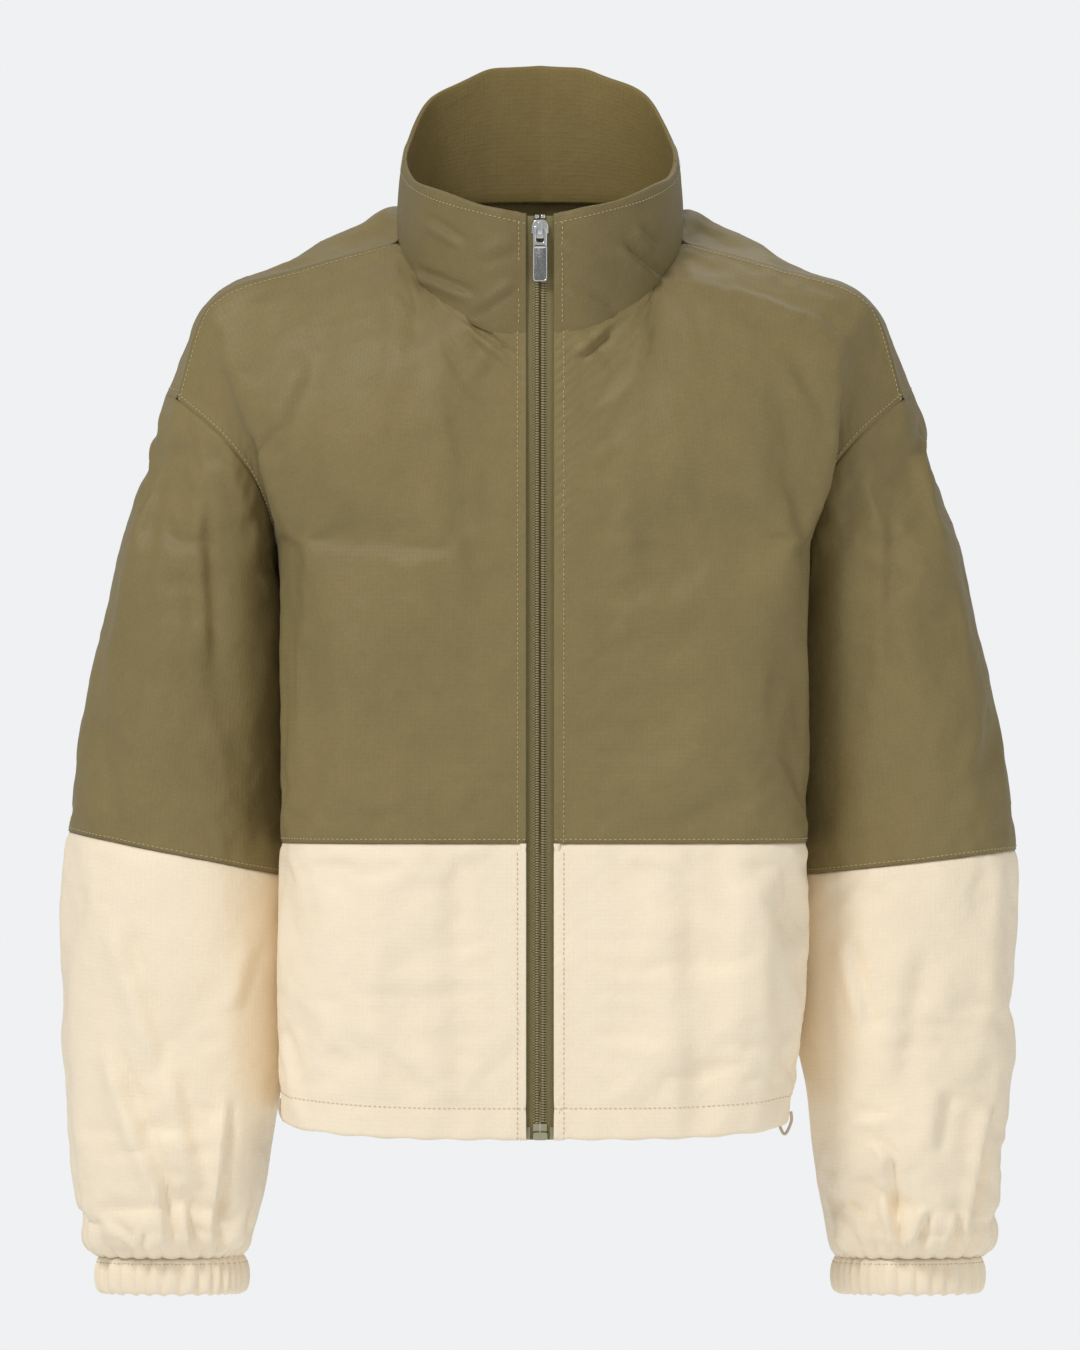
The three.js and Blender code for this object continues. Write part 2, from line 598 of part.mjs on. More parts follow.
// the drawcord lies in the hem, between the outside and its facing, from one front to the other
function addDrawcord() {
  const points = [];
  for (let angle = 17; angle <= 343; angle += 326 / 40) {
    const p = backSection(angle, HEM_Z);
    const folded = angle > 180 ? 360 - angle : angle;
    const next = backSection(angle + 1, HEM_Z);
    const inward = V(-(next.y - p.y), next.x - p.x, 0).normalize();
    const depth = (CLOTH + CASING_INSET) / 2;
    points.push([p.x + inward.x * depth, p.y + inward.y * depth, hemZ(folded) + 9]);
  }
  add('hem_drawcord', cord(curve(points), DRAWCORD / 2, 78), CORD);
}

function addHemLoop(side, name) {
  const { x, y, top, low, half } = LOOP;
  const middle = (top + low) / 2;
  const path = curve([[x - half, y, top], [x - half + 0.5, y, middle], [x, y, low],
    [x + half - 0.5, y, middle], [x + half, y, top]]);
  add(`${name}_hem_loop`, flip(cord(path, DRAWCORD / 2, 14), side), CORD);
}

const HANDS = [[1, 'left'], [-1, 'right']];
HANDS.forEach(([side, name]) => {
  addBody(side, name);
  addFrontTrim(side, name);
  addPocket(side, name);
  addSleeve(side, name);
  addCollar(side, name);
  addHemLoop(side, name);
});
addBack();
addCollarBack();
addDrawcord();
add('zip_slider', sliderBody(), STEEL);
add('zip_bail', bail(), STEEL);
add('zip_puller', puller(), STEEL);
const pin = (x0, x1) => box(x0, x1, COIL.front, COIL.back, -586.4, COIL_BOTTOM_Z - 0.4);
add('zip_insertion_pin', pin(-COIL.outer, -COIL.inner), CLEAR_PLASTIC);
add('zip_retainer_pin', pin(COIL.inner, COIL.outer), CLEAR_PLASTIC);
add('zip_retainer_box', box(-3.3, 4.8, TAPE_Y - 2.6, TAPE_Y - 0.35, -591.8, -586.8), CLEAR_PLASTIC);

export default jacket;
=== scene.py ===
"""A loose, cropped, two-colour zip-up jacket in thin crinkled nylon, hanging as if worn.

Metres throughout. +Z is up, the front faces -Y and the wearer's left is +X; the origin lies between
the highest points of the shoulders. Seams and panels are drawn from a few guide points in
millimetres, and sizes that the frame knows are read from it.
"""
import math

import bmesh
import bpy
import numpy as np
from mathutils import Matrix, Vector, noise
from mathutils.bvhtree import BVHTree


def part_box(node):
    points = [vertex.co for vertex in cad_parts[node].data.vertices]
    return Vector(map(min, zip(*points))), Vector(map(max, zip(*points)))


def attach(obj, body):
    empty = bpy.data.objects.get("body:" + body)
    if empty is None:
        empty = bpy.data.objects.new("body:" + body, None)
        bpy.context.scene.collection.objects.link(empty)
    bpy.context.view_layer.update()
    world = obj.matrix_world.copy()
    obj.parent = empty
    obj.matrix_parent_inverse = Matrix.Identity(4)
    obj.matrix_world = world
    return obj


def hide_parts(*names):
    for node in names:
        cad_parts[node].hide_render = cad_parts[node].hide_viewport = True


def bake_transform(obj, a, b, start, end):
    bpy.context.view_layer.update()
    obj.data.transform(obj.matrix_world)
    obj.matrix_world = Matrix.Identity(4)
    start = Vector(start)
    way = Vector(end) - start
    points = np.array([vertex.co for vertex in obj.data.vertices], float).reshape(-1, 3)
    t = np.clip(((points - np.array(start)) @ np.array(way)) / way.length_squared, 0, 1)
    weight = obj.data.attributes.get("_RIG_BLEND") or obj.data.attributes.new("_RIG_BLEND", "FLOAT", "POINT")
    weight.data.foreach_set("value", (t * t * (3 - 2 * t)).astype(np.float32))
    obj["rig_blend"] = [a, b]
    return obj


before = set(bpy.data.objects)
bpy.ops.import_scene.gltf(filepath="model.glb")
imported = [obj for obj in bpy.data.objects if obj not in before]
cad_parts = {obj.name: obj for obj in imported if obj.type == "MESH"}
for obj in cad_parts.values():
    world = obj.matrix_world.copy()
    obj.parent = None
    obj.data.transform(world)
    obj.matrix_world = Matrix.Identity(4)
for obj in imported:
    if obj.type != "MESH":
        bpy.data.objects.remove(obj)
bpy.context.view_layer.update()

MM = 0.001
HANDS = ((1, "left"), (-1, "right"))  # the wearer's left and right


# ---------------------------------------------------------------- sizes taken from the frame
def low(node):
    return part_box(node)[0]


def high(node):
    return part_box(node)[1]


FRONT_Y = low("left_front_upper_centre").y
BACK_Y = high("back_lower").y
OPENING_X = low("left_front_lower_centre").x
HEM_Z = low("left_front_lower_centre").z
COLOUR_Z = (high("back_lower").z + low("back_upper").z) / 2
CUFF_TOP_Z = high("left_cuff_casing").z
CUFF_X = (low("left_cuff_casing").x + high("left_cuff_casing").x) / 2
TAPE_Y = low("left_zip_tape").y
TAPE_BACK_Y = high("left_zip_tape").y

SIDE_Y = 10 * MM
CORNER_Y = -75 * MM
SQUARENESS = 4
ARMPIT_Z = -215 * MM
UNDERARM_Z = -228 * MM
HEM_DEPTH = 20 * MM
HEM_LIFT = 14 * MM
CELL = 5 * MM
CLOTH = 0.45 * MM


# ---------------------------------------------------------------- curves and profiles
def spline(points, scale=MM):
    """A smooth curve through the points (centripetal Catmull-Rom); called with 0 to 1."""
    p = np.array(points, float) * scale
    p = np.vstack([2 * p[0] - p[1], p, 2 * p[-1] - p[-2]])
    gap = np.maximum(np.linalg.norm(np.diff(p, axis=0), axis=1), 1e-9) ** 0.5

    def at(t):
        x = min(max(t, 0.0), 1.0) * (len(p) - 3)
        i = min(int(x), len(p) - 4)
        u = x - i
        a, b, c, d = p[i:i + 4]
        g0, g1, g2 = gap[i:i + 3]
        start = ((b - a) / g0 - (c - a) / (g0 + g1) + (c - b) / g1) * g1
        end = ((c - b) / g1 - (d - b) / (g1 + g2) + (d - c) / g2) * g1
        return (b + start * u + (3 * (c - b) - 2 * start - end) * u * u
                + (2 * (b - c) + start + end) * u ** 3)

    return at


def along(stations, z):
    """The value at height z of a profile of (height, value) stations in mm, from the top down."""
    heights = [s[0] * MM for s in stations][::-1]
    values = [s[1] * MM for s in stations][::-1]
    return float(np.interp(z, heights, values))


def eased(profile, z, reach=16 * MM):
    """A profile with its corners rounded off."""
    return sum(along(profile, z + k * reach / 2) for k in (-1, -0.5, 0, 0.5, 1)) / 5


def even(line, shares):
    """Points of a polyline at these shares of its length."""
    step = np.linalg.norm(np.diff(line, axis=0), axis=1)
    run = np.concatenate([[0], np.cumsum(step)])
    run /= run[-1]
    return np.stack([np.interp(shares, run, line[:, k]) for k in range(3)], axis=1)


def dense(curve, count=120):
    return np.array([curve(t) for t in np.linspace(0, 1, count)])


def mirrored(points, side):
    return np.asarray(points, float) * (side, 1, 1)


def smoothstep(a, b, x):
    t = np.clip((np.asarray(x, float) - a) / (b - a), 0, 1)
    return t * t * (3 - 2 * t)


# ---------------------------------------------------------------- the body's shape
BODY_WIDTH = {
    1: ((-215, 181), (-300, 177), (-340, 178), (-474, 178), (-520, 174), (-592, 165)),
    -1: ((-215, 169), (-300, 169), (-405, 170), (-505, 172), (-592, 171)),
}
BODY_TAPER = {1: 1.4, -1: 0.9}  # share by which the body narrows for each metre behind CORNER_Y
FOLD = {  # the edge at which each front folds over towards the armhole, armpit to shoulder
    1: ((181, -82, -215), (188, -85, -160), (193, -76, -100), (209, -38, -61)),
    -1: ((169, -82, -215), (178, -87, -165), (190, -78, -122), (211, -38, -57)),
}
NECK_SIDE = (90, -35, -23)
SHOULDER = (232, -35, -123)
UNDERARM = (166, 10, -228)
NECK_FRONT = ((8.5, -114, -83), (30, -112.5, -79), (64, -91, -61))
NECK_CENTRE = (0, 70, 13)
NECK_BACK = ((36, 64, 12), (70, 42, 8), (88, 8, 0))
neck_front = spline(NECK_FRONT + (NECK_SIDE,))
neck_back = spline((NECK_CENTRE,) + NECK_BACK + (NECK_SIDE,))
shoulder_seam = spline((NECK_SIDE, (150, -37, -39), (208, -38, -60), SHOULDER))
armhole_front = spline((UNDERARM, (170, -30, -205), (181, -55, -175), (200, -62, -150), SHOULDER))
armhole_back = spline((UNDERARM, (172, 46, -196), (194, 64, -156), (222, 48, -130), (240, 4, -120),
                       SHOULDER))
chest = spline(((90, -114, -215), (90, -110, -130), (90, -84, -62), NECK_SIDE))
blade = spline(((104, 112, -215), (110, 106, -120), (106, 74, -45), (97, 22, -5), NECK_SIDE))
FRONT_SHARES = np.concatenate([[0, 0.0065, 0.013, 0.0195, 0.027, 0.04], np.linspace(0.058, 1, 50)])
BACK_SHARES = np.linspace(0, 1, 47)


def section(side, z, start, end, count=160):
    """The body's outline at height z between two angles; 0 is centre front, 180 centre back."""
    a = np.radians(np.linspace(start, end, count))
    depth = np.where(np.cos(a) > 0, FRONT_Y - SIDE_Y, BACK_Y - SIDE_Y)
    y = SIDE_Y + depth * np.abs(np.cos(a)) ** (2 / SQUARENESS)
    taper = 1 - BODY_TAPER[side] * (y - CORNER_Y)
    x = eased(BODY_WIDTH[side], z) * np.abs(np.sin(a)) ** (2 / SQUARENESS) * taper
    return np.stack([x * side, y, np.full(count, z)], axis=1)


def front_row(side, z):
    line = section(side, z, 0.05, 90)
    line = line[np.abs(line[:, 0]) > OPENING_X]
    return even(np.vstack([[side * OPENING_X, FRONT_Y, z], line]), FRONT_SHARES)


def front_yoke_row(side, h):
    """A row across the front above the armpit, h 0 to 1 up to the neckline and shoulder seam."""
    opening = np.array([OPENING_X, FRONT_Y, ARMPIT_Z]) * (1 - h) + neck_front(0) * h
    middle = chest(h)
    fold = spline(FOLD[side])(h)
    arm = armhole_front(h)
    sag = neck_front(0.5) - (neck_front(0) + neck_front(1)) / 2
    inner = (opening + middle) / 2 + sag * h ** 3
    flat = (1 - h) ** 0.5
    before = fold + np.array([-16, -9, 2]) * MM * flat
    after = fold + (arm - fold) * 0.3 + np.array([-3, 8, 0]) * MM * flat
    outer = (middle + before) / 2 + np.array([0, -4, 0]) * MM * flat
    points = [opening, inner, middle, outer, before, fold, after, arm]
    return even(mirrored(dense(spline(points, 1)), side), FRONT_SHARES)


def back_yoke_row(h):
    centre = np.array([0, BACK_Y, ARMPIT_Z]) * (1 - h) + np.array(NECK_CENTRE) * MM * h
    centre[1] += 20 * MM * math.sin(math.pi * h) * h
    edge, arm = blade(h), armhole_back(h)
    near = (centre + edge) / 2 + np.array([0, 4, 0]) * MM * math.sin(math.pi * h)
    top = (edge + arm) / 2
    top[1] += 18 * MM * math.sin(math.pi * h)
    top[2] += 24 * MM * h ** 2 * (1 - h) * 4
    return even(dense(spline([centre, near, edge, top, arm], 1)), BACK_SHARES)


def stacked(row_at, shares, yoke_row, top_edge, yoke_rows):
    """Rows from the hem up to the armpit, then over the yoke to its upper edge."""
    lift = HEM_LIFT * np.sin(shares * math.pi / 2) ** 4
    rows = []
    for z in np.linspace(HEM_Z, COLOUR_Z, round((COLOUR_Z - HEM_Z) / CELL) + 1):
        row = row_at(z)
        row[:, 2] += lift * (COLOUR_Z - z) / (COLOUR_Z - HEM_Z)
        rows.append(row)
    colour_row = len(rows) - 1
    above = round((ARMPIT_Z - COLOUR_Z) / CELL)
    rows += [row_at(z) for z in np.linspace(COLOUR_Z, ARMPIT_Z, above + 1)[1:]]
    drop = np.clip((shares - 0.72) / 0.28, 0, 1) ** 2 * (UNDERARM_Z - ARMPIT_Z)
    for k in range(above + 1):
        rows[colour_row + k][:, 2] += drop * (k / above) ** 2
    reach = (yoke_row(0)[-1] - rows[-1][-1]) * smoothstep(0.7, 1, shares)[:, None]
    for k in range(above + 1):
        rows[colour_row + k] += reach * (k / above) ** 3
    foot = rows[-1] - yoke_row(0)
    crown = even(top_edge, shares) - yoke_row(1)
    for h in np.linspace(0, 1, yoke_rows + 1)[1:]:
        rows.append(yoke_row(h) + foot * (1 - h) ** 2 + crown * h ** 3)
    return np.array(rows), colour_row


def front_surface(side):
    edge = np.vstack([dense(neck_front, 60), dense(shoulder_seam, 60)[1:]])
    return stacked(lambda z: front_row(side, z), FRONT_SHARES, lambda h: front_yoke_row(side, h),
                   mirrored(edge, side), 38)


def back_surface():
    edge = np.vstack([dense(neck_back, 60), dense(shoulder_seam, 60)[1:]])
    halves = []
    for side in (-1, 1):
        rows, colour_row = stacked(
            lambda z, side=side: even(section(side, z, 180, 90), BACK_SHARES), BACK_SHARES,
            lambda h, side=side: mirrored(back_yoke_row(h), side), mirrored(edge, side), 46)
        halves.append(rows)
    right, left = halves
    middle = (left[:, :1] + right[:, :1]) / 2
    return np.concatenate([right[:, :0:-1], middle, left[:, 1:]], axis=1), colour_row


# ---------------------------------------------------------------- the sleeves' shape
SLEEVE_OUTER = ((-119, 241), (-143, 250), (-169, 257), (-220, 270), (-270, 280), (-321, 291),
                (-372, 300), (-423, 306), (-537, 306), (-588, 303), (-639, 297), (-660, 291),
                (-672, 284))
SLEEVE_INNER = {
    1: ((-228, 166), (-270, 162), (-530, 162), (-565, 170), (-600, 173), (-626, 177), (-651, 182),
        (-672, 188)),
    -1: ((-228, 166), (-270, 162), (-550, 162), (-590, 169), (-626, 174), (-651, 181), (-672, 190)),
}
SLEEVE_DEPTH = ((-119, 60), (-230, 66), (-400, 60), (-600, 58), (-650, 46), (-672, 33))
SLEEVE_Y = ((-119, 2), (-230, 6), (-400, 8), (-672, 0))
SLEEVE_SEAM = {1: (-411, -427), -1: (-399, -427)}  # the colour seam's height outside and inside
SHOULDER_ANGLE = -35
BACK_SHARE = 0.58
SLEEVE_CELLS = 84


def sleeve_point(side, angle, z):
    outer, inner = eased(SLEEVE_OUTER, z), eased(SLEEVE_INNER[side], z)
    a = math.radians(angle)
    x = (outer + inner) / 2 + (outer - inner) / 2 * math.cos(a)
    return np.array([x, eased(SLEEVE_Y, z) + eased(SLEEVE_DEPTH, z) * math.sin(a), z])


def armhole(share):
    """A point once round the armhole and its angle: up the back to the shoulder, down the front."""
    if share < BACK_SHARE:
        u = share / BACK_SHARE
        return armhole_back(u), 180 + (SHOULDER_ANGLE - 180) * u
    u = (share - BACK_SHARE) / (1 - BACK_SHARE)
    return armhole_front(1 - u), SHOULDER_ANGLE + (-180 - SHOULDER_ANGLE) * u


def sleeve_seam_z(side, angle):
    outer, inner = SLEEVE_SEAM[side]
    return ((outer + inner) / 2 + (outer - inner) / 2 * math.cos(math.radians(angle))) * MM


def sleeve_surface(side, above=48, below=54):
    """Rings of points from the cuff up to the armhole."""
    around = [armhole(j / SLEEVE_CELLS) for j in range(SLEEVE_CELLS)]
    rows = []
    for t in np.linspace(0, 1, below + 1):
        rows.append([sleeve_point(side, a, CUFF_TOP_Z + (sleeve_seam_z(side, a) - CUFF_TOP_Z) * t)
                     for _, a in around])
    for t in np.linspace(1, 0, above + 1)[1:]:
        ring = []
        for point, a in around:
            z = point[2] + (sleeve_seam_z(side, a) - point[2]) * t
            start = point - sleeve_point(side, a, point[2])
            ring.append(sleeve_point(side, a, z) + start * (1 - t) ** 2)
        rows.append(ring)
    return mirrored(rows, side), below


# ---------------------------------------------------------------- making cloth
def linked(name, mesh):
    obj = bpy.data.objects.new(name, mesh)
    bpy.context.scene.collection.objects.link(obj)
    return obj


def finished(name, bm, smooth=True):
    for face in bm.faces:
        face.smooth = smooth
    mesh = bpy.data.meshes.new(name)
    bm.to_mesh(mesh)
    bm.free()
    return linked(name, mesh)


def cloth_grid(name, rows, inside, wraps=False):
    """A sheet through rows of points. Its UV map is its mean width and its length
    in metres, each point keeps its
    row and column, and each face keeps the area it was cut to, before any draping or folding."""
    count, across = rows.shape[0] - 1, rows.shape[1] - (0 if wraps else 1)
    bm = bmesh.new()
    uv = bm.loops.layers.uv.new("flat")
    row_of, column_of = bm.verts.layers.float.new("row"), bm.verts.layers.float.new("column")
    bmesh.ops.create_grid(bm, x_segments=across, y_segments=count, size=0.5)
    wide = np.linalg.norm(np.diff(rows, axis=1), axis=2).mean(axis=0)
    if wraps:
        wide = np.append(wide, wide.mean())
    tall = np.linalg.norm(np.diff(rows, axis=0), axis=2)[:, rows.shape[1] // 3]
    flat_u, flat_v = np.insert(np.cumsum(wide), 0, 0), np.insert(np.cumsum(tall), 0, 0)
    for v in bm.verts:
        v[column_of] = round((v.co.x + 0.5) * across)
        v[row_of] = round((v.co.y + 0.5) * count)
    for face in bm.faces:
        for loop in face.loops:
            v = loop.vert
            loop[uv].uv = (flat_u[int(v[column_of])], flat_v[int(v[row_of])])
    for v in bm.verts:
        v.co = rows[int(v[row_of]), int(v[column_of]) % rows.shape[1]]
    if wraps:
        bmesh.ops.remove_doubles(bm, verts=bm.verts, dist=1e-7)
    bm.normal_update()
    cut = bm.faces.layers.float.new("cut")
    for face in bm.faces:
        face[cut] = face.calc_area()
    outward = sum((f.calc_center_median() - Vector(inside)).dot(f.normal) for f in bm.faces)
    if outward < 0:
        bmesh.ops.reverse_faces(bm, faces=bm.faces)
    return finished(name, bm)


def points_of(obj):
    co = np.empty(3 * len(obj.data.vertices))
    obj.data.vertices.foreach_get("co", co)
    return co.reshape(-1, 3)


def normals_of(obj):
    n = np.empty(3 * len(obj.data.vertices))
    obj.data.vertex_normals.foreach_get("vector", n)
    return n.reshape(-1, 3)


def place_points(obj, co):
    obj.data.vertices.foreach_set("co", np.asarray(co, float).ravel())
    obj.data.update()


def layer_of(obj, name):
    values = np.empty(len(obj.data.vertices))
    obj.data.attributes[name].data.foreach_get("value", values)
    return values


def cut_areas(obj):
    values = np.empty(len(obj.data.polygons))
    obj.data.attributes["cut"].data.foreach_get("value", values)
    return values


def apply_modifiers(obj):
    graph = bpy.context.evaluated_depsgraph_get()
    mesh = bpy.data.meshes.new_from_object(obj.evaluated_get(graph),
                                           preserve_all_data_layers=True, depsgraph=graph)
    old = obj.data
    obj.modifiers.clear()
    obj.data = mesh
    bpy.data.meshes.remove(old)


def subdivided(obj, levels=1):
    mod = obj.modifiers.new("smooth", "SUBSURF")
    mod.levels = mod.render_levels = levels
    apply_modifiers(obj)
    obj.data.attributes["cut"].data.foreach_set("value", cut_areas(obj) / 4 ** levels)


def thickened(obj, thick=CLOTH):
    mod = obj.modifiers.new("cloth", "SOLIDIFY")
    mod.thickness = thick
    mod.offset = -1


def cut_from(obj, name, keep):
    """A new piece from the faces of a sheet whose row is kept."""
    bm = bmesh.new()
    bm.from_mesh(obj.data)
    row_of = bm.verts.layers.float["row"]
    gone = [f for f in bm.faces if not keep(sum(v[row_of] for v in f.verts) / len(f.verts))]
    bmesh.ops.delete(bm, geom=gone, context="FACES")
    return finished(name, bm)


def field(co, size, seed, stretch=(1, 1, 1)):
    """Smooth noise at each point, with features about this size."""
    scale = Vector(stretch) / size
    shift = Vector((seed * 7.31, seed * 3.17, seed * 5.73))
    return np.array([noise.noise(Vector(p) * scale + shift) for p in co])


def crinkle(co, size, seed):
    """Sharp little ridges, as in thin nylon that has been creased."""
    return 0.35 - np.abs(field(co, size, seed)) * 1.6


def creased(co, folds):
    """How far each point moves out for folds (x0, z0, x1, z1, width, height) seen from in front."""
    out = np.zeros(len(co))
    p = co[:, [0, 2]] / MM
    for x0, z0, x1, z1, width, height in folds:
        a, line = np.array([x0, z0]), np.array([x1 - x0, z1 - z0], float)
        length = np.linalg.norm(line)
        t = (p - a) @ line / length ** 2
        d = (p - a) @ np.array([-line[1], line[0]]) / length
        ends = smoothstep(-0.12, 0.2, t) * (1 - smoothstep(0.75, 1.15, t))
        ridge = np.exp(-(d / width) ** 2) - 0.9 * np.exp(-((d - 1.25 * width) / width / 0.7) ** 2)
        out += ends * ridge * height * 1.55 * MM
    return out


SPARE = 0.022  # how much longer and wider the draped sheets are cut than the shape they hang in


def drape(sheets, frames=26, spare=SPARE):
    """Lets each sheet, held at its seams and cut a little too large, settle into soft folds."""
    scene = bpy.context.scene
    before = {}
    for obj, hold, most in sheets:
        before[obj] = points_of(obj)
        group = obj.vertex_groups.new(name="hold")
        for index in np.nonzero(hold > 0.02)[0]:
            group.add([int(index)], float(min(hold[index], 1)), "REPLACE")
        mod = obj.modifiers.new("drape", "CLOTH")
        cloth = mod.settings
        cloth.quality = 5
        cloth.mass = 0.06
        cloth.tension_stiffness = cloth.compression_stiffness = 18
        cloth.shear_stiffness = 8
        cloth.bending_stiffness = 0.25
        cloth.air_damping = 3
        cloth.vertex_group_mass = "hold"
        cloth.shrink_min = cloth.shrink_max = -spare
        cloth.effector_weights.gravity = 0.0
        mod.collision_settings.use_collision = False
        mod.point_cache.frame_end = frames
    for step in range(1, frames + 1):
        scene.frame_set(step)
    for obj, hold, most in sheets:
        apply_modifiers(obj)
        moved = points_of(obj) - before[obj]
        length = np.maximum(np.linalg.norm(moved, axis=1, keepdims=True), 1e-9)
        limit = most[:, None]
        place_points(obj, before[obj] + moved * np.minimum(1, limit / length))
        obj.vertex_groups.clear()
    scene.frame_set(1)


# ---------------------------------------------------------------- materials
class Socket:
    """A shader value that adds Math nodes when it is used in arithmetic."""

    def __init__(self, tree, out):
        self.tree, self.out = tree, out

    def op(self, operation, *values):
        return node(self.tree, "ShaderNodeMath", {"operation": operation},
                    {i: v for i, v in enumerate((self,) + values)})

    def __add__(self, other):
        return self.op("ADD", other)

    def __sub__(self, other):
        return self.op("SUBTRACT", other)

    def __rsub__(self, other):
        return self.op("MULTIPLY", -1) + other

    def __mul__(self, other):
        return self.op("MULTIPLY", other)

    def __truediv__(self, other):
        return self.op("DIVIDE", other)

    __radd__, __rmul__ = __add__, __mul__

    def fract(self):
        return self.op("FRACT")

    def absolute(self):
        return self.op("ABSOLUTE")

    def step(self, low, high):
        return node(self.tree, "ShaderNodeMapRange", {"interpolation_type": "SMOOTHSTEP"},
                    {"Value": self, "From Min": low, "From Max": high})


def node(tree, kind, settings=None, inputs=None, output=0):
    """Adds a node: its settings first, then the values or links of its sockets."""
    made = tree.nodes.new(kind)
    for key, value in (settings or {}).items():
        setattr(made, key, value)
    for key, value in (inputs or {}).items():
        if isinstance(value, Socket):
            tree.links.new(value.out, made.inputs[key])
        else:
            made.inputs[key].default_value = value
    return Socket(tree, made.outputs[output])


def srgb(*levels):
    """A linear colour from 0 to 255 levels."""
    values = [v / 255 for v in levels]
    return tuple(v / 12.92 if v <= 0.04045 else ((v + 0.055) / 1.055) ** 2.4 for v in values) + (1,)


def shade(colour, factor):
    return tuple(c * factor for c in colour[:3]) + (1,)


def material(name, constants):
    mat = bpy.data.materials.new(name)
    mat.use_nodes = True
    tree = mat.node_tree
    tree.nodes.clear()
    shader = tree.nodes.new("ShaderNodeBsdfPrincipled")
    out = tree.nodes.new("ShaderNodeOutputMaterial")
    tree.links.new(shader.outputs[0], out.inputs[0])
    for key, value in constants.items():
        shader.inputs[key].default_value = value
    return mat, tree, shader


def link(tree, socket, shader, key):
    tree.links.new(socket.out, shader.inputs[key])


def blend_colour(tree, factor, a, b):
    return node(tree, "ShaderNodeMix", {"data_type": "RGBA"}, {0: factor, 6: a, 7: b}, output=2)


def bumpy(tree, shader, strength, distance, height):
    link(tree, node(tree, "ShaderNodeBump", None, {
        "Strength": strength, "Distance": distance, "Height": height}), shader, "Normal")


def parts(tree, place, *outputs):
    """The chosen coordinates of a place, 0 to 2 for x to z."""
    split = tree.nodes.new("ShaderNodeSeparateXYZ")
    tree.links.new(place.out, split.inputs[0])
    return [Socket(tree, split.outputs[k]) for k in outputs]


def coordinates(tree, from_uv):
    if from_uv:
        return node(tree, "ShaderNodeUVMap", {"uv_map": "flat"})
    return node(tree, "ShaderNodeTexCoord", output=3)


def noise_at(tree, vector, scale, detail=2.0, roughness=0.5):
    return node(tree, "ShaderNodeTexNoise", None,
                {"Vector": vector, "Scale": scale, "Detail": detail, "Roughness": roughness})


RIPSTOP = 2.9 * MM


def nylon(name, colour, dark=0.86, light=1.1, gloss=0.5, grid=0.16):
    """Thin crinkled ripstop nylon."""
    mat, tree, shader = material(name, {
        "Specular IOR Level": 0.3, "Sheen Weight": 0.05, "Sheen Roughness": 0.4})
    place, solid = coordinates(tree, True), coordinates(tree, False)
    across, up = parts(tree, place, 0, 1)
    rib_a = ((across / RIPSTOP).fract() - 0.5).absolute().step(0.34, 0.5)
    rib_b = ((up / RIPSTOP).fract() - 0.5).absolute().step(0.34, 0.5)
    ribs = rib_a.op("MAXIMUM", rib_b)
    weave = (across * 5200).op("SINE") * (up * 5200).op("SINE")
    soft = noise_at(tree, solid, 9, 3)
    creases = noise_at(tree, solid, 70, 4, 0.55)
    fine = noise_at(tree, solid, 420, 3, 0.6)
    tone = soft * 0.55 + creases * 0.3 + fine * 0.35 - 0.1
    base = blend_colour(tree, tone.step(0.2, 0.8), shade(colour, dark), shade(colour, light))
    base = blend_colour(tree, ribs * grid, base, shade(colour, dark * 0.86))
    link(tree, base, shader, "Base Color")
    link(tree, fine * 0.16 + creases * 0.12 + (gloss - 0.12), shader, "Roughness")
    ridge = 1 - (creases - 0.5).absolute() * 6
    height = ridge * 0.38 + fine * 0.22 + ribs * 0.16 + weave * 0.05
    bumpy(tree, shader, 0.8, 0.00045, height)
    return mat


def woven_tape(name, colour, pitch=0.55 * MM):
    """Close herringbone tape."""
    mat, tree, shader = material(name, {"Specular IOR Level": 0.25, "Sheen Weight": 0.15})
    solid = coordinates(tree, False)
    x, z = parts(tree, solid, 0, 2)
    chevron = ((x / 2.4 / MM).fract() - 0.5).absolute() * 2.2 * MM
    rows = (((z + chevron) / pitch).fract() - 0.5).absolute().step(0.1, 0.5)
    fine = noise_at(tree, solid, 900, 2)
    base = blend_colour(tree, rows * 0.5 + fine * 0.4, shade(colour, 0.8), shade(colour, 1.12))
    link(tree, base, shader, "Base Color")
    link(tree, fine * 0.15 + 0.68, shader, "Roughness")
    bumpy(tree, shader, 0.7, 0.0002, rows + fine * 0.4)
    return mat


def moulded(name, colour, rough=0.4, constants=None):
    """Moulded nylon or clear film, with faint flow marks."""
    mat, tree, shader = material(name, {"Specular IOR Level": 0.5, **(constants or {})})
    solid = coordinates(tree, False)
    flow, fine = noise_at(tree, solid, 160, 3), noise_at(tree, solid, 1400, 2)
    link(tree, blend_colour(tree, flow, shade(colour, 0.88), shade(colour, 1.1)), shader,
         "Base Color")
    link(tree, fine * 0.2 + (rough - 0.1), shader, "Roughness")
    bumpy(tree, shader, 0.25, 0.0001, fine)
    return mat


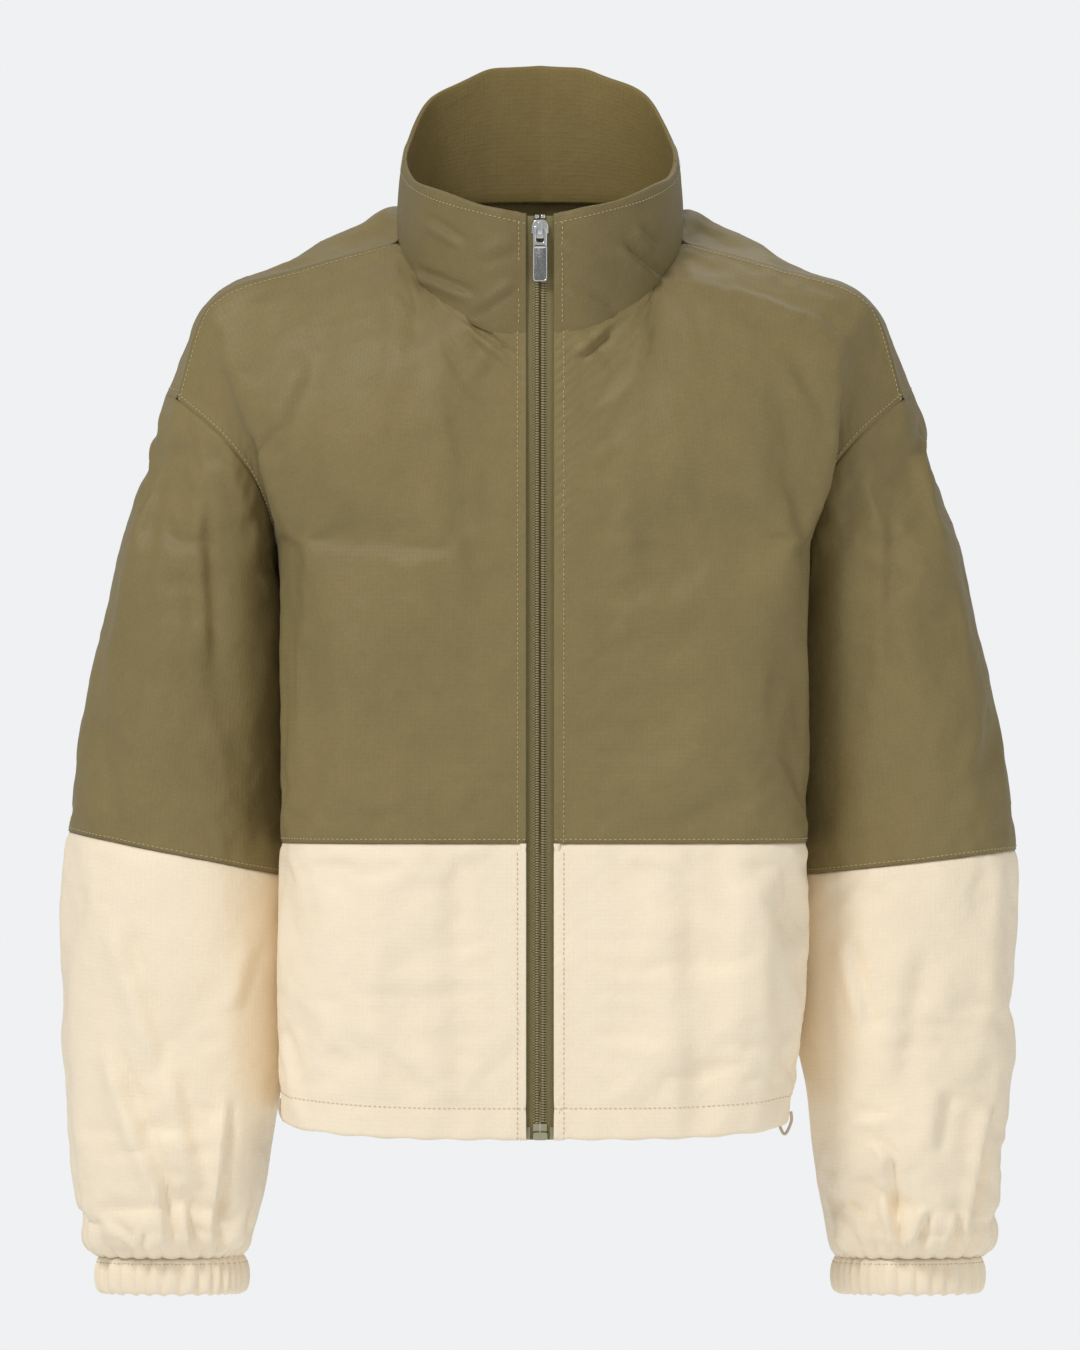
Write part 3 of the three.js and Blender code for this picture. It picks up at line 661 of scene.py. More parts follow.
def steel(name, colour, rough, hammered=0.0):
    """Plated metal: polished, or hammered where the pattern shows."""
    mat, tree, shader = material(name, {"Metallic": 1.0})
    solid = coordinates(tree, False)
    dents = node(tree, "ShaderNodeTexVoronoi", {"feature": "F1"}, {"Vector": solid, "Scale": 1300})
    brushed, scuffs = noise_at(tree, solid, 900, 3), noise_at(tree, solid, 250, 4)
    tone = scuffs * 0.5 + dents * hammered
    link(tree, blend_colour(tree, tone.step(0.15, 0.85), shade(colour, 1.06), shade(colour, 0.72)),
         shader, "Base Color")
    link(tree, scuffs * 0.16 + brushed * 0.08 + (rough - 0.12), shader, "Roughness")
    height = dents * hammered + brushed * 0.12
    bumpy(tree, shader, 0.7, 0.0004, height)
    return mat


def yarn(name, colour):
    """Spun thread or braided cord."""
    mat, tree, shader = material(name, {"Specular IOR Level": 0.3, "Sheen Weight": 0.2})
    solid = coordinates(tree, False)
    fibres = noise_at(tree, solid, 2600, 3, 0.6)
    link(tree, blend_colour(tree, fibres, shade(colour, 0.75), shade(colour, 1.15)), shader,
         "Base Color")
    link(tree, fibres * 0.2 + 0.6, shader, "Roughness")
    bumpy(tree, shader, 0.6, 0.0001, fibres)
    return mat


OLIVE_COLOUR = srgb(134, 118, 75)
CREAM_COLOUR = srgb(253, 236, 207)
OLIVE = nylon("olive nylon", OLIVE_COLOUR)
# The collar's olive is the body's olive darkened: painted shade, for the collar leaning away from the light.
OLIVE_COLLAR_WITH_PAINTED_SHADE = nylon("olive collar nylon", shade(OLIVE_COLOUR, 0.84))
# The same olive fabric made darker and warmer: painted shade for the collar's inside, the facings and the
# pocket bags.
OLIVE_LINING_WITH_PAINTED_SHADE = nylon("olive lining", srgb(130, 112, 64), gloss=0.56)
CREAM = nylon("cream nylon", CREAM_COLOUR, dark=0.95, light=1.01, gloss=0.52, grid=0.08)
TAPE = woven_tape("olive zip tape", srgb(138, 125, 83))
COIL = moulded("olive coil", srgb(150, 137, 98), 0.42)
OLIVE_THREAD = yarn("olive thread", srgb(200, 186, 142))
CREAM_THREAD = yarn("cream thread", srgb(214, 196, 162))
CORD = yarn("beige cord", srgb(205, 190, 160))
ELASTIC = woven_tape("white elastic", srgb(228, 222, 208), 1.1 * MM)
POLISHED = steel("polished zip metal", srgb(214, 214, 212), 0.24)
HAMMERED = steel("hammered zip metal", srgb(138, 138, 137), 0.42, hammered=0.9)
CLEAR = moulded("clear film", srgb(150, 146, 118), 0.25, {"Coat Weight": 0.3})
PIN = moulded("moulded pin", srgb(158, 152, 122), 0.3)


# ---------------------------------------------------------------- studio
def studio():
    scene = bpy.context.scene
    scene.view_settings.view_transform = "Standard"
    camera = bpy.data.objects.new("camera", bpy.data.cameras.new("camera"))
    distance = 6.0
    camera.data.lens = 42 * distance
    camera.data.clip_end = 120
    camera.location = (0, -0.06 - distance, -0.299)
    camera.rotation_euler = (math.pi / 2, 0, 0)
    scene.collection.objects.link(camera)
    scene.camera = camera
    world = bpy.data.worlds.new("studio")
    world.use_nodes = True
    world.node_tree.nodes["Background"].inputs[0].default_value = (0.95, 0.97, 1.0, 1)
    world.node_tree.nodes["Background"].inputs[1].default_value = 0.46
    scene.world = world
    aim = Vector((0, 0, -0.3))
    for name, place, size, power in (
            ("key light", (-2.0, -2.7, 2.9), 1.1, 97), ("fill light", (2.4, -2.8, 0.4), 2.2, 15),
            ("back light", (0.6, 2.4, 2.6), 2.0, 17)):
        lamp = bpy.data.lights.new(name, "AREA")
        lamp.size, lamp.energy = size, power
        obj = bpy.data.objects.new(name, lamp)
        obj.location = place
        obj.rotation_euler = (aim - Vector(place)).to_track_quat("-Z", "Y").to_euler()
        scene.collection.objects.link(obj)
    paper, _, _ = material("pale paper", {
        "Roughness": 0.95, "Specular IOR Level": 0.05, "Base Color": (0.6, 0.61, 0.62, 1),
        "Emission Color": (0.86, 0.875, 0.89, 1), "Emission Strength": 0.42})
    bm = bmesh.new()
    bmesh.ops.create_circle(bm, cap_ends=True, segments=96, radius=6.2,
                            matrix=Matrix.Translation((0, 0, -1.2)))
    floor = finished("studio_floor", bm)
    floor.data.materials.append(paper)
    surround, _, _ = material("pale surround", {
        "Base Color": (0, 0, 0, 1), "Roughness": 1, "Specular IOR Level": 0,
        "Emission Color": (0.871, 0.879, 0.888, 1), "Emission Strength": 1})
    bm = bmesh.new()
    bmesh.ops.create_icosphere(bm, subdivisions=5, radius=35)
    bmesh.ops.reverse_faces(bm, faces=bm.faces)
    dome = finished("studio_surround", bm)
    dome.data.materials.append(surround)
    dome.visible_diffuse = dome.visible_glossy = dome.visible_transmission = False
    dome.visible_shadow = dome.visible_volume_scatter = False


studio()


# ---------------------------------------------------------------- how pieces follow the joints
def dressed(obj, mat):
    obj.data.materials.clear()
    obj.data.materials.append(mat)


def opens(obj, side, name):
    """Cloth at the front: it turns with the front beyond a soft fold over the chest."""
    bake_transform(obj, "torso", f"{name}_front", start=(side * 0.115, -0.113, -0.3),
             end=(side * 0.0522, -0.1342, -0.3))


def raises(obj, side, name):
    """Cloth at the shoulder: the armhole stays with the body and the sleeve turns."""
    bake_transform(obj, "torso", f"{name}_sleeve", start=(side * 0.241, 0, -0.119),
             end=(side * 0.281, 0, -0.1468))


def flat_size(obj):
    """The mean width and the length of a cloth piece, from its flat map."""
    uv = obj.data.uv_layers["flat"].data
    flat = np.empty(2 * len(uv))
    uv.foreach_get("uv", flat)
    flat = flat.reshape(-1, 2)
    width, length = flat.max(axis=0) - flat.min(axis=0)
    return float(width), float(length)


def declare(obj, nodes, spare=0.0, rectangle=False):
    """Hides the CAD nodes a sheet stands for; its flat width and length, and its cut area from its pattern
    and the spare cloth, not from its folds, are worked out but not kept.
    """
    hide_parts(*nodes)
    width, length = flat_size(obj)
    full = 1 + spare
    area = None if rectangle else float(cut_areas(obj).sum()) * full ** 2


def placed(obj, slot, body, *nodes):
    """Hides the CAD nodes a rigid piece stands for and attaches it to the body it rides; the material slot
    is not used.
    """
    if nodes:
        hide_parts(*nodes)
    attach(obj, body)


# ---------------------------------------------------------------- stitching
def surface_tree(obj):
    mesh = obj.data
    return BVHTree.FromPolygons([v.co for v in mesh.vertices],
                                [tuple(p.vertices) for p in mesh.polygons])


def seam_thread(bm, line, tree, pitch=3.1 * MM, proud=0.3 * MM, thick=0.31 * MM):
    """Lays a row of stitches along a line, on the surface of the cloth."""
    run = np.concatenate([[0], np.cumsum(np.linalg.norm(np.diff(line, axis=0), axis=1))])
    count = max(int(run[-1] / pitch), 1)
    at = even(line, (np.arange(count) + 0.5) / count)
    ahead = even(line, np.clip((np.arange(count) + 0.7) / count, 0, 1))
    for here, there in zip(at, ahead):
        place, normal, _, _ = tree.find_nearest(Vector(here))
        further = tree.find_nearest(Vector(there))[0]
        if place is None:
            continue
        x = (further - place).normalized()
        z = normal.normalized()
        y = z.cross(x)
        turn = Matrix((x, y, z)).transposed().to_4x4()
        size = Matrix.Diagonal((pitch * 0.36, thick, thick * 0.8, 1))
        bmesh.ops.create_icosphere(bm, subdivisions=1, radius=1,
                                   matrix=Matrix.Translation(place + z * proud) @ turn @ size)


def sewn(name, lines, cloth, mat, **how):
    bm = bmesh.new()
    tree = surface_tree(cloth)
    for line in lines:
        seam_thread(bm, np.asarray(line), tree, **how)
    obj = finished(name, bm)
    dressed(obj, mat)
    return obj


# ---------------------------------------------------------------- body cloth
HEM_TURN = ((20, 5.8), (12, 6.0), (4, 5.6), (0.4, 3.0))  # height above the hem, and inset, in mm


def outward(rows, sign):
    """Horizontal outward direction at each point of a row."""
    step = np.gradient(rows, axis=-2)
    n = np.stack([step[..., 1], -step[..., 0], np.zeros(step.shape[:-1])], axis=-1) * sign
    return n / np.maximum(np.linalg.norm(n, axis=-1, keepdims=True), 1e-9)


def with_hem(rows, sign):
    """Adds the hem's turned-up inside below the first row."""
    first = rows[0]
    n = outward(rows[0], sign)
    turned = [first - n * inset * MM + np.array([0, 0, up * MM]) for up, inset in HEM_TURN]
    return np.concatenate([turned, rows]), len(turned)


def with_turned_edge(rows, side):
    """Adds the edge beside the zip, turned under."""
    edge = rows[:, :1] + np.array([side * 0.1, 0.9, 0]) * MM
    under = rows[:, :1] + np.array([side * 4, 1.25, 0]) * MM
    return np.concatenate([under, edge, rows], axis=1), 2


FRONT_FOLDS = {
    1: ((41, -81, 22, -97, 3.5, 1.6), (52, -72, 34, -84, 4, 0.9), (24, -86, 44, -112, 4, 0.7),
        (78, -410, 84, -590, 13, 1.8), (112, -408, 106, -590, 12, -1.6),
        (140, -412, 138, -585, 11, 1.6), (176, -500, 158, -585, 5, 1.6),
        (168, -545, 146, -588, 4, 1.2), (60, -120, 74, -230, 16, -1.2),
        (150, -100, 176, -150, 8, 1.2), (168, -285, 178, -345, 4, 1.0),
        (20, -300, 60, -330, 9, 0.5), (18, -470, 50, -500, 9, 0.5)),
    -1: ((-48, -79, -20, -101, 3.5, 1.6), (-56, -72, -36, -86, 4, 0.9),
         (-26, -88, -46, -116, 4, 0.7), (-89, -112, -76, -195, 16, -1.8),
         (-150, -100, -172, -150, 8, 1.3), (-70, -410, -66, -588, 13, 1.2),
         (-120, -408, -126, -585, 14, -1.2), (-168, -520, -150, -585, 5, 1.2),
         (-20, -350, -64, -384, 9, 0.5), (-18, -520, -52, -556, 9, 0.5)),
}


def placket_puckers(co, side):
    """Small slanting puckers between the zip and the stitching beside it."""
    x = np.abs(co[:, 0])
    wander = field(co, 40 * MM, 3 + side) * 2.2
    wave = np.sin((co[:, 2] - (x - OPENING_X) * 0.8) / (7.2 * MM) * 2 * math.pi + wander)
    strength = 0.55 + 0.45 * field(co, 60 * MM, 9 + side)
    near = smoothstep(OPENING_X - 1 * MM, OPENING_X + 3 * MM, x)
    near *= 1 - smoothstep(12 * MM, 30 * MM, x)
    return wave * strength * near * 0.6 * MM


def edge_fade(values, last, reach):
    """0 at both ends of a run of rows or columns, 1 away from them."""
    return smoothstep(0, reach, values) * smoothstep(0, reach, last - values)


fronts, sleeves = {}, {}
sheets = []
for side, name in HANDS:
    rows, colour_row = front_surface(side)
    rows, hem_rows = with_hem(rows, side)
    rows, turned = with_turned_edge(rows, side)
    cloth = cloth_grid(f"{name}_front", rows, (0, 0.05, -0.3))
    fronts[side] = dict(obj=cloth, rows=rows, seam=colour_row + hem_rows, turned=turned,
                        hem=hem_rows)
    row, column = layer_of(cloth, "row"), layer_of(cloth, "column")
    last_row, last_column = rows.shape[0] - 1, rows.shape[1] - 1
    hold = np.maximum.reduce([
        1 - smoothstep(8, 13, column), 1 - smoothstep(hem_rows + 3, hem_rows + 6, row),
        1 - smoothstep(0, 1.5, np.abs(row - colour_row - hem_rows)),
        1 - smoothstep(0, 3, last_row - row), 1 - smoothstep(0, 4, last_column - column)])
    co = points_of(cloth)
    most = np.where(co[:, 1] > -70 * MM, 1.5 * MM, 5 * MM)
    sheets.append((cloth, hold, most))

rows, colour_row = back_surface()
rows, hem_rows = with_hem(rows, -1)
back = cloth_grid("back", rows, (0, 0.0, -0.3))
backs = dict(obj=back, rows=rows, seam=colour_row + hem_rows, hem=hem_rows)
row, column = layer_of(back, "row"), layer_of(back, "column")
last_row, last_column = rows.shape[0] - 1, rows.shape[1] - 1
hold = np.maximum.reduce([
    1 - smoothstep(hem_rows + 3, hem_rows + 6, row),
    1 - smoothstep(0, 1.5, np.abs(row - colour_row - hem_rows)),
    1 - smoothstep(0, 3, last_row - row), 1 - smoothstep(0, 4, column),
    1 - smoothstep(0, 4, last_column - column)])
co = points_of(back)
sheets.append((back, hold, np.where(co[:, 1] < 75 * MM, 1.5 * MM, 6 * MM)))

for side, name in HANDS:
    rows, seam = sleeve_surface(side)
    cloth = cloth_grid(f"{name}_sleeve", rows, (side * CUFF_X, 0, -0.4), wraps=True)
    sleeves[side] = dict(obj=cloth, rows=rows, seam=seam)
    row = layer_of(cloth, "row")
    hold = np.maximum.reduce([
        1 - smoothstep(0, 3, row), 1 - smoothstep(0, 3, rows.shape[0] - 1 - row),
        1 - smoothstep(0, 1.5, np.abs(row - seam))])
    co = points_of(cloth)
    inner = smoothstep(215 * MM, 185 * MM, np.abs(co[:, 0]))
    sheets.append((cloth, hold, 5.5 * MM - 4.3 * MM * inner))

drape(sheets)


def relief(obj, fade, seed, folds, strength=1.0, deep=1.0):
    """Moves a finished sheet in and out: soft waves, folds and crinkles."""
    co, n = points_of(obj), normals_of(obj)
    facing = smoothstep(0.1, 0.5, -n[:, 1])
    out = field(co, 75 * MM, seed, (1, 1, 0.5)) * 1.8 * MM + field(co, 34 * MM, seed + 1) * 0.7 * MM
    out += crinkle(co, 24 * MM, seed + 2) * 0.55 * MM + crinkle(co, 10 * MM, seed + 3) * 0.3 * MM
    out = out * strength + creased(co, folds) * facing * deep
    return co, n, out * fade


def lip(obj, seam, above):
    """The upper cloth laps over the seam, and the lower one goes in under it."""
    co, n, row = points_of(obj), normals_of(obj), layer_of(obj, "row")
    near = 1 - smoothstep(0, 1.2, np.abs(row - seam))
    move = near * (0.45 * MM if above else -0.35 * MM)
    place_points(obj, co + n * move[:, None])


OLIVE_LINE = 2.6 * MM
for side, name in HANDS:
    piece = fronts[side]
    cloth, rows = piece["obj"], piece["rows"]
    subdivided(cloth)
    row, column = layer_of(cloth, "row"), layer_of(cloth, "column")
    last_row, last_column = rows.shape[0] - 1, rows.shape[1] - 1
    fade = (smoothstep(0, 3, last_row - row) * smoothstep(0, 3, last_column - column)
            * smoothstep(1, 7, column) * smoothstep(piece["hem"] - 1, piece["hem"] + 3, row))
    co, n, out = relief(cloth, fade, 11 + side, FRONT_FOLDS[side])
    on_top = smoothstep(1, 3, column)
    out += placket_puckers(co, side) * on_top * smoothstep(0, 2, last_row - row)
    hem_wave = np.sin(co[:, 0] / (26 * MM) * 2 * math.pi) * 0.5 * MM
    out += hem_wave * (1 - smoothstep(0, 6, np.abs(row - piece["hem"]))) * on_top
    out -= (1 - smoothstep(0, 1.3, np.abs(row - piece["seam"]))) * 0.5 * MM
    out -= (1 - smoothstep(0, 1.2, np.abs(row - piece["hem"] - HEM_DEPTH / CELL))) * 0.35 * MM
    place_points(cloth, co + n * out[:, None])
    upper = cut_from(cloth, f"{name}_front_upper_cloth", lambda r, s=piece["seam"]: r > s)
    lower = cut_from(cloth, f"{name}_front_lower_cloth", lambda r, s=piece["seam"]: r < s)
    bpy.data.objects.remove(cloth)
    lip(upper, piece["seam"], True)
    lip(lower, piece["seam"], False)
    dressed(upper, OLIVE)
    dressed(lower, CREAM)
    piece.update(upper=upper, lower=lower)

cloth, rows = backs["obj"], backs["rows"]
subdivided(cloth)
row, column = layer_of(cloth, "row"), layer_of(cloth, "column")
fade = (smoothstep(0, 3, rows.shape[0] - 1 - row) * edge_fade(column, rows.shape[1] - 1, 3)
        * smoothstep(backs["hem"] - 1, backs["hem"] + 3, row))
co, n, out = relief(cloth, fade, 21, (), 1.2)
out -= (1 - smoothstep(0, 1.3, np.abs(row - backs["seam"]))) * 0.5 * MM
place_points(cloth, co + n * out[:, None])
back_upper = cut_from(cloth, "back_upper_cloth", lambda r: r > backs["seam"])
back_lower = cut_from(cloth, "back_lower_cloth", lambda r: r < backs["seam"])
bpy.data.objects.remove(cloth)
lip(back_upper, backs["seam"], True)
lip(back_lower, backs["seam"], False)
dressed(back_upper, OLIVE)
dressed(back_lower, CREAM)

SLEEVE_FOLDS = {
    1: (
        (286, -575, 278, -612, 6, 2.0), (279, -605, 269, -660, 4.5, 2.6),
        (279, -640, 273, -668, 3, 1.6), (264, -642, 254, -668, 4, 2.2),
        (245, -638, 230, -668, 4, 2.4), (217, -605, 220, -645, 5, 2.2),
        (220, -635, 228, -674, 4, 2.4), (178, -630, 203, -672, 4.5, 2.4),
        (194, -637, 206, -646, 3, 1.4), (252, -562, 244, -600, 8, 1.5),
        (195, -582, 220, -584, 5, 1.1), (210, -598, 224, -608, 4, 1.3),
        (232, -470, 216, -560, 11, 1.4), (216, -190, 214, -300, 7, 1.1),
        (246, -160, 262, -260, 9, 1.0), (190, -470, 204, -520, 6, 1.6),
        (292, -420, 286, -520, 9, 1.4)),
    -1: (
        (-277, -540, -244, -630, 7, 2.4), (-244, -620, -238, -668, 4, 2.3),
        (-238, -550, -224, -614, 8, 1.8), (-201, -570, -207, -634, 5, 2.5),
        (-207, -622, -213, -672, 4, 2.6), (-177, -555, -185, -642, 5, 2.2),
        (-185, -630, -197, -672, 4, 2.4), (-227, -636, -223, -672, 3.2, 2.0),
        (-276, -651, -256, -663, 4, 1.6), (-255, -652, -258, -672, 3, 1.8),
        (-273, -461, -246, -545, 8, 1.6), (-219, -188, -213, -290, 6, 1.3),
        (-184, -470, -196, -510, 6, 1.6), (-250, -150, -266, -250, 9, 1.0),
        (-286, -330, -280, -400, 8, 0.9)),
}
PLEATS = 15


def pleats(angle):
    """Sharp little pleats round a cuff, -1 in the valleys to 1 on the ridges."""
    turn = PLEATS * angle + 1.3 * np.sin(3 * angle + 0.5) + 0.9 * np.sin(5 * angle)
    return np.abs(np.sin(turn)) ** 0.8 * 2 - 1.3


def ruffle(angle, reach):
    """Gathers above a cuff; the fine ones die out first with their distance from it."""
    reach = np.maximum(reach, 0)
    total = pleats(angle) * 0.6 * np.exp(-reach / (15 * MM))
    for count, size, start, far in ((5, 0.7, 1.3, 75), (8, 0.9, 0.4, 55), (11, 0.9, 2.6, 38),
                                    (17, 0.6, 5.1, 24)):
        wave = np.sin(count * angle + start + 0.8 * np.sin(3 * angle))
        total += size * wave * np.exp(-reach / (far * MM))
    return total / 1.7


def around(co, side):
    return np.arctan2(co[:, 1] / 32, (co[:, 0] * side - CUFF_X) / 48)


for side, name in HANDS:
    piece = sleeves[side]
    cloth = piece["obj"]
    subdivided(cloth)
    row = layer_of(cloth, "row")
    last_row = piece["rows"].shape[0] - 1
    co = points_of(cloth)
    inner = smoothstep(205 * MM, 180 * MM, np.abs(co[:, 0]))
    fade = smoothstep(0, 3, last_row - row) * (1 - 0.75 * inner)
    fade *= smoothstep(0, 4, row)
    co, n, out = relief(cloth, fade, 31 + side, SLEEVE_FOLDS[side], 1.15, 1.35)
    reach = co[:, 2] - CUFF_TOP_Z
    gathers = ruffle(around(co, side), reach) * 4.6 * MM * smoothstep(-1 * MM, 12 * MM, reach)
    at_cuff = 1 - smoothstep(-1 * MM, 12 * MM, reach)
    gathers += (pleats(around(co, side)) * 1.3 - 0.3) * MM * at_cuff
    bulge = 2.0 * MM * np.exp(-((reach - 14 * MM) / (12 * MM)) ** 2)
    out += (gathers + bulge) * (1 - 0.6 * inner)
    out -= (1 - smoothstep(-1 * MM, 6 * MM, reach)) * 2.4 * MM
    out -= (1 - smoothstep(0, 1.3, np.abs(row - piece["seam"]))) * 0.5 * MM
    place_points(cloth, co + n * out[:, None])
    upper = cut_from(cloth, f"{name}_sleeve_upper_cloth", lambda r, s=piece["seam"]: r > s)
    lower = cut_from(cloth, f"{name}_sleeve_lower_cloth", lambda r, s=piece["seam"]: r < s)
    bpy.data.objects.remove(cloth)
    lip(upper, piece["seam"], True)
    lip(lower, piece["seam"], False)
    dressed(upper, OLIVE)
    dressed(lower, CREAM)
    piece.update(upper=upper, lower=lower)


# ---------------------------------------------------------------- collar
COLLAR_RIM = spline(((8.5, -114, -9), (30, -112, -4), (70, -77, 9), (87, -30, 25), (86, 6, 44),
                     (70, 42, 74), (36, 64, 92), (0, 70, 96)))
COLLAR_BASE = spline(NECK_FRONT + (NECK_SIDE,) + NECK_BACK[::-1] + (NECK_CENTRE,))
COLLAR_SPLIT = 0.46
COLLAR_DEPTH = 3.4 * MM
COLLAR_FOLDS = {
    1: ((50, -30, 78, -52, 3.5, 2.0), (60, -18, 72, -30, 3.5, 1.4), (16, -58, 46, -72, 3.5, 1.2),
        (14, -30, 40, -40, 5, 0.9)),
    -1: ((-80, -46, -44, -62, 3.5, 2.0), (-72, -14, -50, -28, 3.5, 1.4),
         (-16, -52, -44, -70, 3.5, 1.2), (-14, -26, -40, -34, 5, 0.9)),
    0: (),
}


def collar_rows(shares, lining):
    """Rows from the neck seam up to the middle of the rim, for the outside or the lining."""
    base = np.array([COLLAR_BASE(s) for s in shares])
    rim = np.array([COLLAR_RIM(s) for s in shares])
    n = outward((base + rim) / 2, 1)
    levels = [(-0.07, 1.1 * MM), (-0.035, 0.5 * MM)]
    levels += [(t, 0.0) for t in np.linspace(0, 0.97, 16)] + [(0.992, 0.35 * MM), (1.0, 1.0 * MM),
                                                            (1.003, 1.7 * MM)]
    rows = []
    for t, inset in levels:
        deep = COLLAR_DEPTH - inset if lining else inset
        swell = 1.0 * MM * math.sin(math.pi * min(max(t, 0), 1)) * (0 if lining else 1)
        rows.append(base + (rim - base) * t + n * (swell - deep))
    return np.array(rows)


def collar_sheet(name, lining, side):
    if side:
        rows = mirrored(collar_rows(np.linspace(0, COLLAR_SPLIT, 40), lining), side)
        if not lining:
            rows, _ = with_turned_edge(rows, side)
    else:
        half = collar_rows(np.linspace(COLLAR_SPLIT, 1, 44), lining)
        rows = np.concatenate([half * (-1, 1, 1), half[:, ::-1][:, 1:]], axis=1)
    cloth = cloth_grid(name, rows, (0, -0.02, -0.02 if side else 0.04))
    if lining:
        cloth.data.flip_normals()
    subdivided(cloth)
    row, column = layer_of(cloth, "row"), layer_of(cloth, "column")
    last = rows.shape[1] - 1
    start = 2 if side and not lining else 0
    fade = smoothstep(0, 2, row) * smoothstep(0, 2, rows.shape[0] - 1 - row)
    fade *= smoothstep(0, 3, last - column) * smoothstep(start, start + 3, column)
    co, n, out = relief(cloth, fade, 41 + side + (5 if lining else 0), (), 0.5)
    shallow = 0.45 if lining else 1
    facing = smoothstep(0.1, 0.5, -n[:, 1])
    out = (out + creased(co, COLLAR_FOLDS[side]) * facing * fade) * shallow
    if side and not lining:
        out += placket_puckers(co, side) * smoothstep(1, 3, column) * 0.8
    place_points(cloth, co + n * out[:, None])
    sway = np.sin(np.arctan2(co[:, 0], -co[:, 1]) * 9 + 1) * 1.1 * MM
    lift = sway * smoothstep(0.3, 1, row / (rows.shape[0] - 1))
    lift *= smoothstep(14 * MM, 40 * MM, np.abs(co[:, 0]))
    moved = points_of(cloth)
    moved[:, 2] += lift
    place_points(cloth, moved)
    # The outside wears the olive darkened by painted shade, and the lining wears the inside olive darkened
    # by painted shade.
    dressed(cloth, OLIVE_LINING_WITH_PAINTED_SHADE if lining else OLIVE_COLLAR_WITH_PAINTED_SHADE)
    return cloth


# ---------------------------------------------------------------- cuffs
CUFF_PROFILE = ((-1.2, 1.6), (0.4, 0.2), (1.3, -1.6), (1.2, -3.2), (2.0, -5), (2.7, -9), (2.8, -14),
                (2.2, -19), (0.8, -22.4), (-1.0, -23.2), (-2.8, -22.2), (-4.2, -18), (-4.8, -12),
                (-4.8, -6), (-4.4, -1))  # out from the cuff line and down from its top, in mm


def cuff_ring(name, side, profile, cells=208, spread=1.0):
    rows = []
    for out, down in profile:
        a = np.linspace(math.pi, -math.pi, cells, endpoint=False)
        wave = pleats(a) * 1.75 * MM * spread
        fine = np.sin(23 * a + 2 * np.sin(5 * a)) * 0.4 * MM * spread
        body = smoothstep(0, 5, -down) * 0.5 + 0.5
        r = out * MM + (wave + fine) * body
        z = CUFF_TOP_Z + down * MM + wave * body * (0.55 if down < -15 else 0.3)
        x = (CUFF_X + (46 * MM + r) * np.cos(a)) * side
        rows.append(np.stack([x, (30 * MM + r) * np.sin(a), z], axis=1))
    cloth = cloth_grid(name, np.array(rows)[::-1], (side * CUFF_X, 0, CUFF_TOP_Z), wraps=True)
    subdivided(cloth)
    return cloth


# ---------------------------------------------------------------- zip hardware
def rounded(half_width, top, bottom, roundness=5, count=40):
    """Points of an upright rounded rectangle, as (x, z)."""
    points = []
    for k in range(count):
        a = 2 * math.pi * k / count
        c, s = math.cos(a), math.sin(a)
        x = math.copysign(abs(c) ** (2 / roundness), c) * half_width
        z = math.copysign(abs(s) ** (2 / roundness), s) * (top - bottom) / 2 + (top + bottom) / 2
        points.append((x, z))
    return points


def grown(outline, by):
    """The outline moved out from its middle, or in, by this distance."""
    middle = np.mean(outline, axis=0)
    away = np.asarray(outline) - middle
    return middle + away + by * away / np.maximum(np.abs(away).max(axis=0), 1e-9)


def framed_plate(bm, outer, inner, front, back, r):
    """A plate with an opening, its edges rounded over: one section carried round the opening."""
    rings = [(grown(outer, -r), front), (grown(outer, -0.3 * r), front + 0.3 * r),
             (outer, front + r), (outer, back - r),
             (grown(outer, -0.3 * r), back - 0.3 * r), (grown(outer, -r), back),
             (grown(inner, r), back), (grown(inner, 0.3 * r), back - 0.3 * r), (inner, back - r),
             (inner, front + r), (grown(inner, 0.3 * r), front + 0.3 * r), (grown(inner, r), front)]
    made = bmesh.ops.create_circle(bm, segments=len(outer), radius=1)["verts"]
    edges = [e for e in bm.edges if e.verts[0] in made and e.verts[1] in made]
    for v, (x, z) in zip(made, rings[0][0]):
        v.co = (x, rings[0][1], z)
    current = {tuple(v.co): i for i, v in enumerate(made)}
    for outline, y in rings[1:] + rings[:1]:
        new = bmesh.ops.extrude_edge_only(bm, edges=edges)["geom"]
        edges = [e for e in new if isinstance(e, bmesh.types.BMEdge)]
        following = {}
        for v in (v for v in new if isinstance(v, bmesh.types.BMVert)):
            i = current[tuple(v.co)]
            v.co = (outline[i][0], y, outline[i][1])
            following[tuple(v.co)] = i
        current = following


def solid_plate(bm, outline, front, back, round_over, segments=3):
    """A plate of this outline with its edges rounded over."""
    face = bm.faces.new([bm.verts.new((x, front, z)) for x, z in outline])
    made = bmesh.ops.extrude_face_region(bm, geom=[face])
    moved = [v for v in made["geom"] if isinstance(v, bmesh.types.BMVert)]
    bmesh.ops.translate(bm, verts=moved, vec=(0, back - front, 0))
    edges = [e for e in bm.edges if abs(e.verts[0].co.y - e.verts[1].co.y) < 1e-7
             and e.is_manifold and min(abs(e.verts[0].co.y - y) for y in (front, back)) < 1e-7]
    bmesh.ops.bevel(bm, geom=edges, offset=round_over, offset_type="OFFSET", segments=segments,
                    profile=0.5, affect="EDGES", material=-1, clamp_overlap=True)


def closed(name, bm, mat):
    bmesh.ops.remove_doubles(bm, verts=bm.verts, dist=1e-7)
    bmesh.ops.recalc_face_normals(bm, faces=bm.faces)
    obj = finished(name, bm)
    dressed(obj, mat)
    return obj


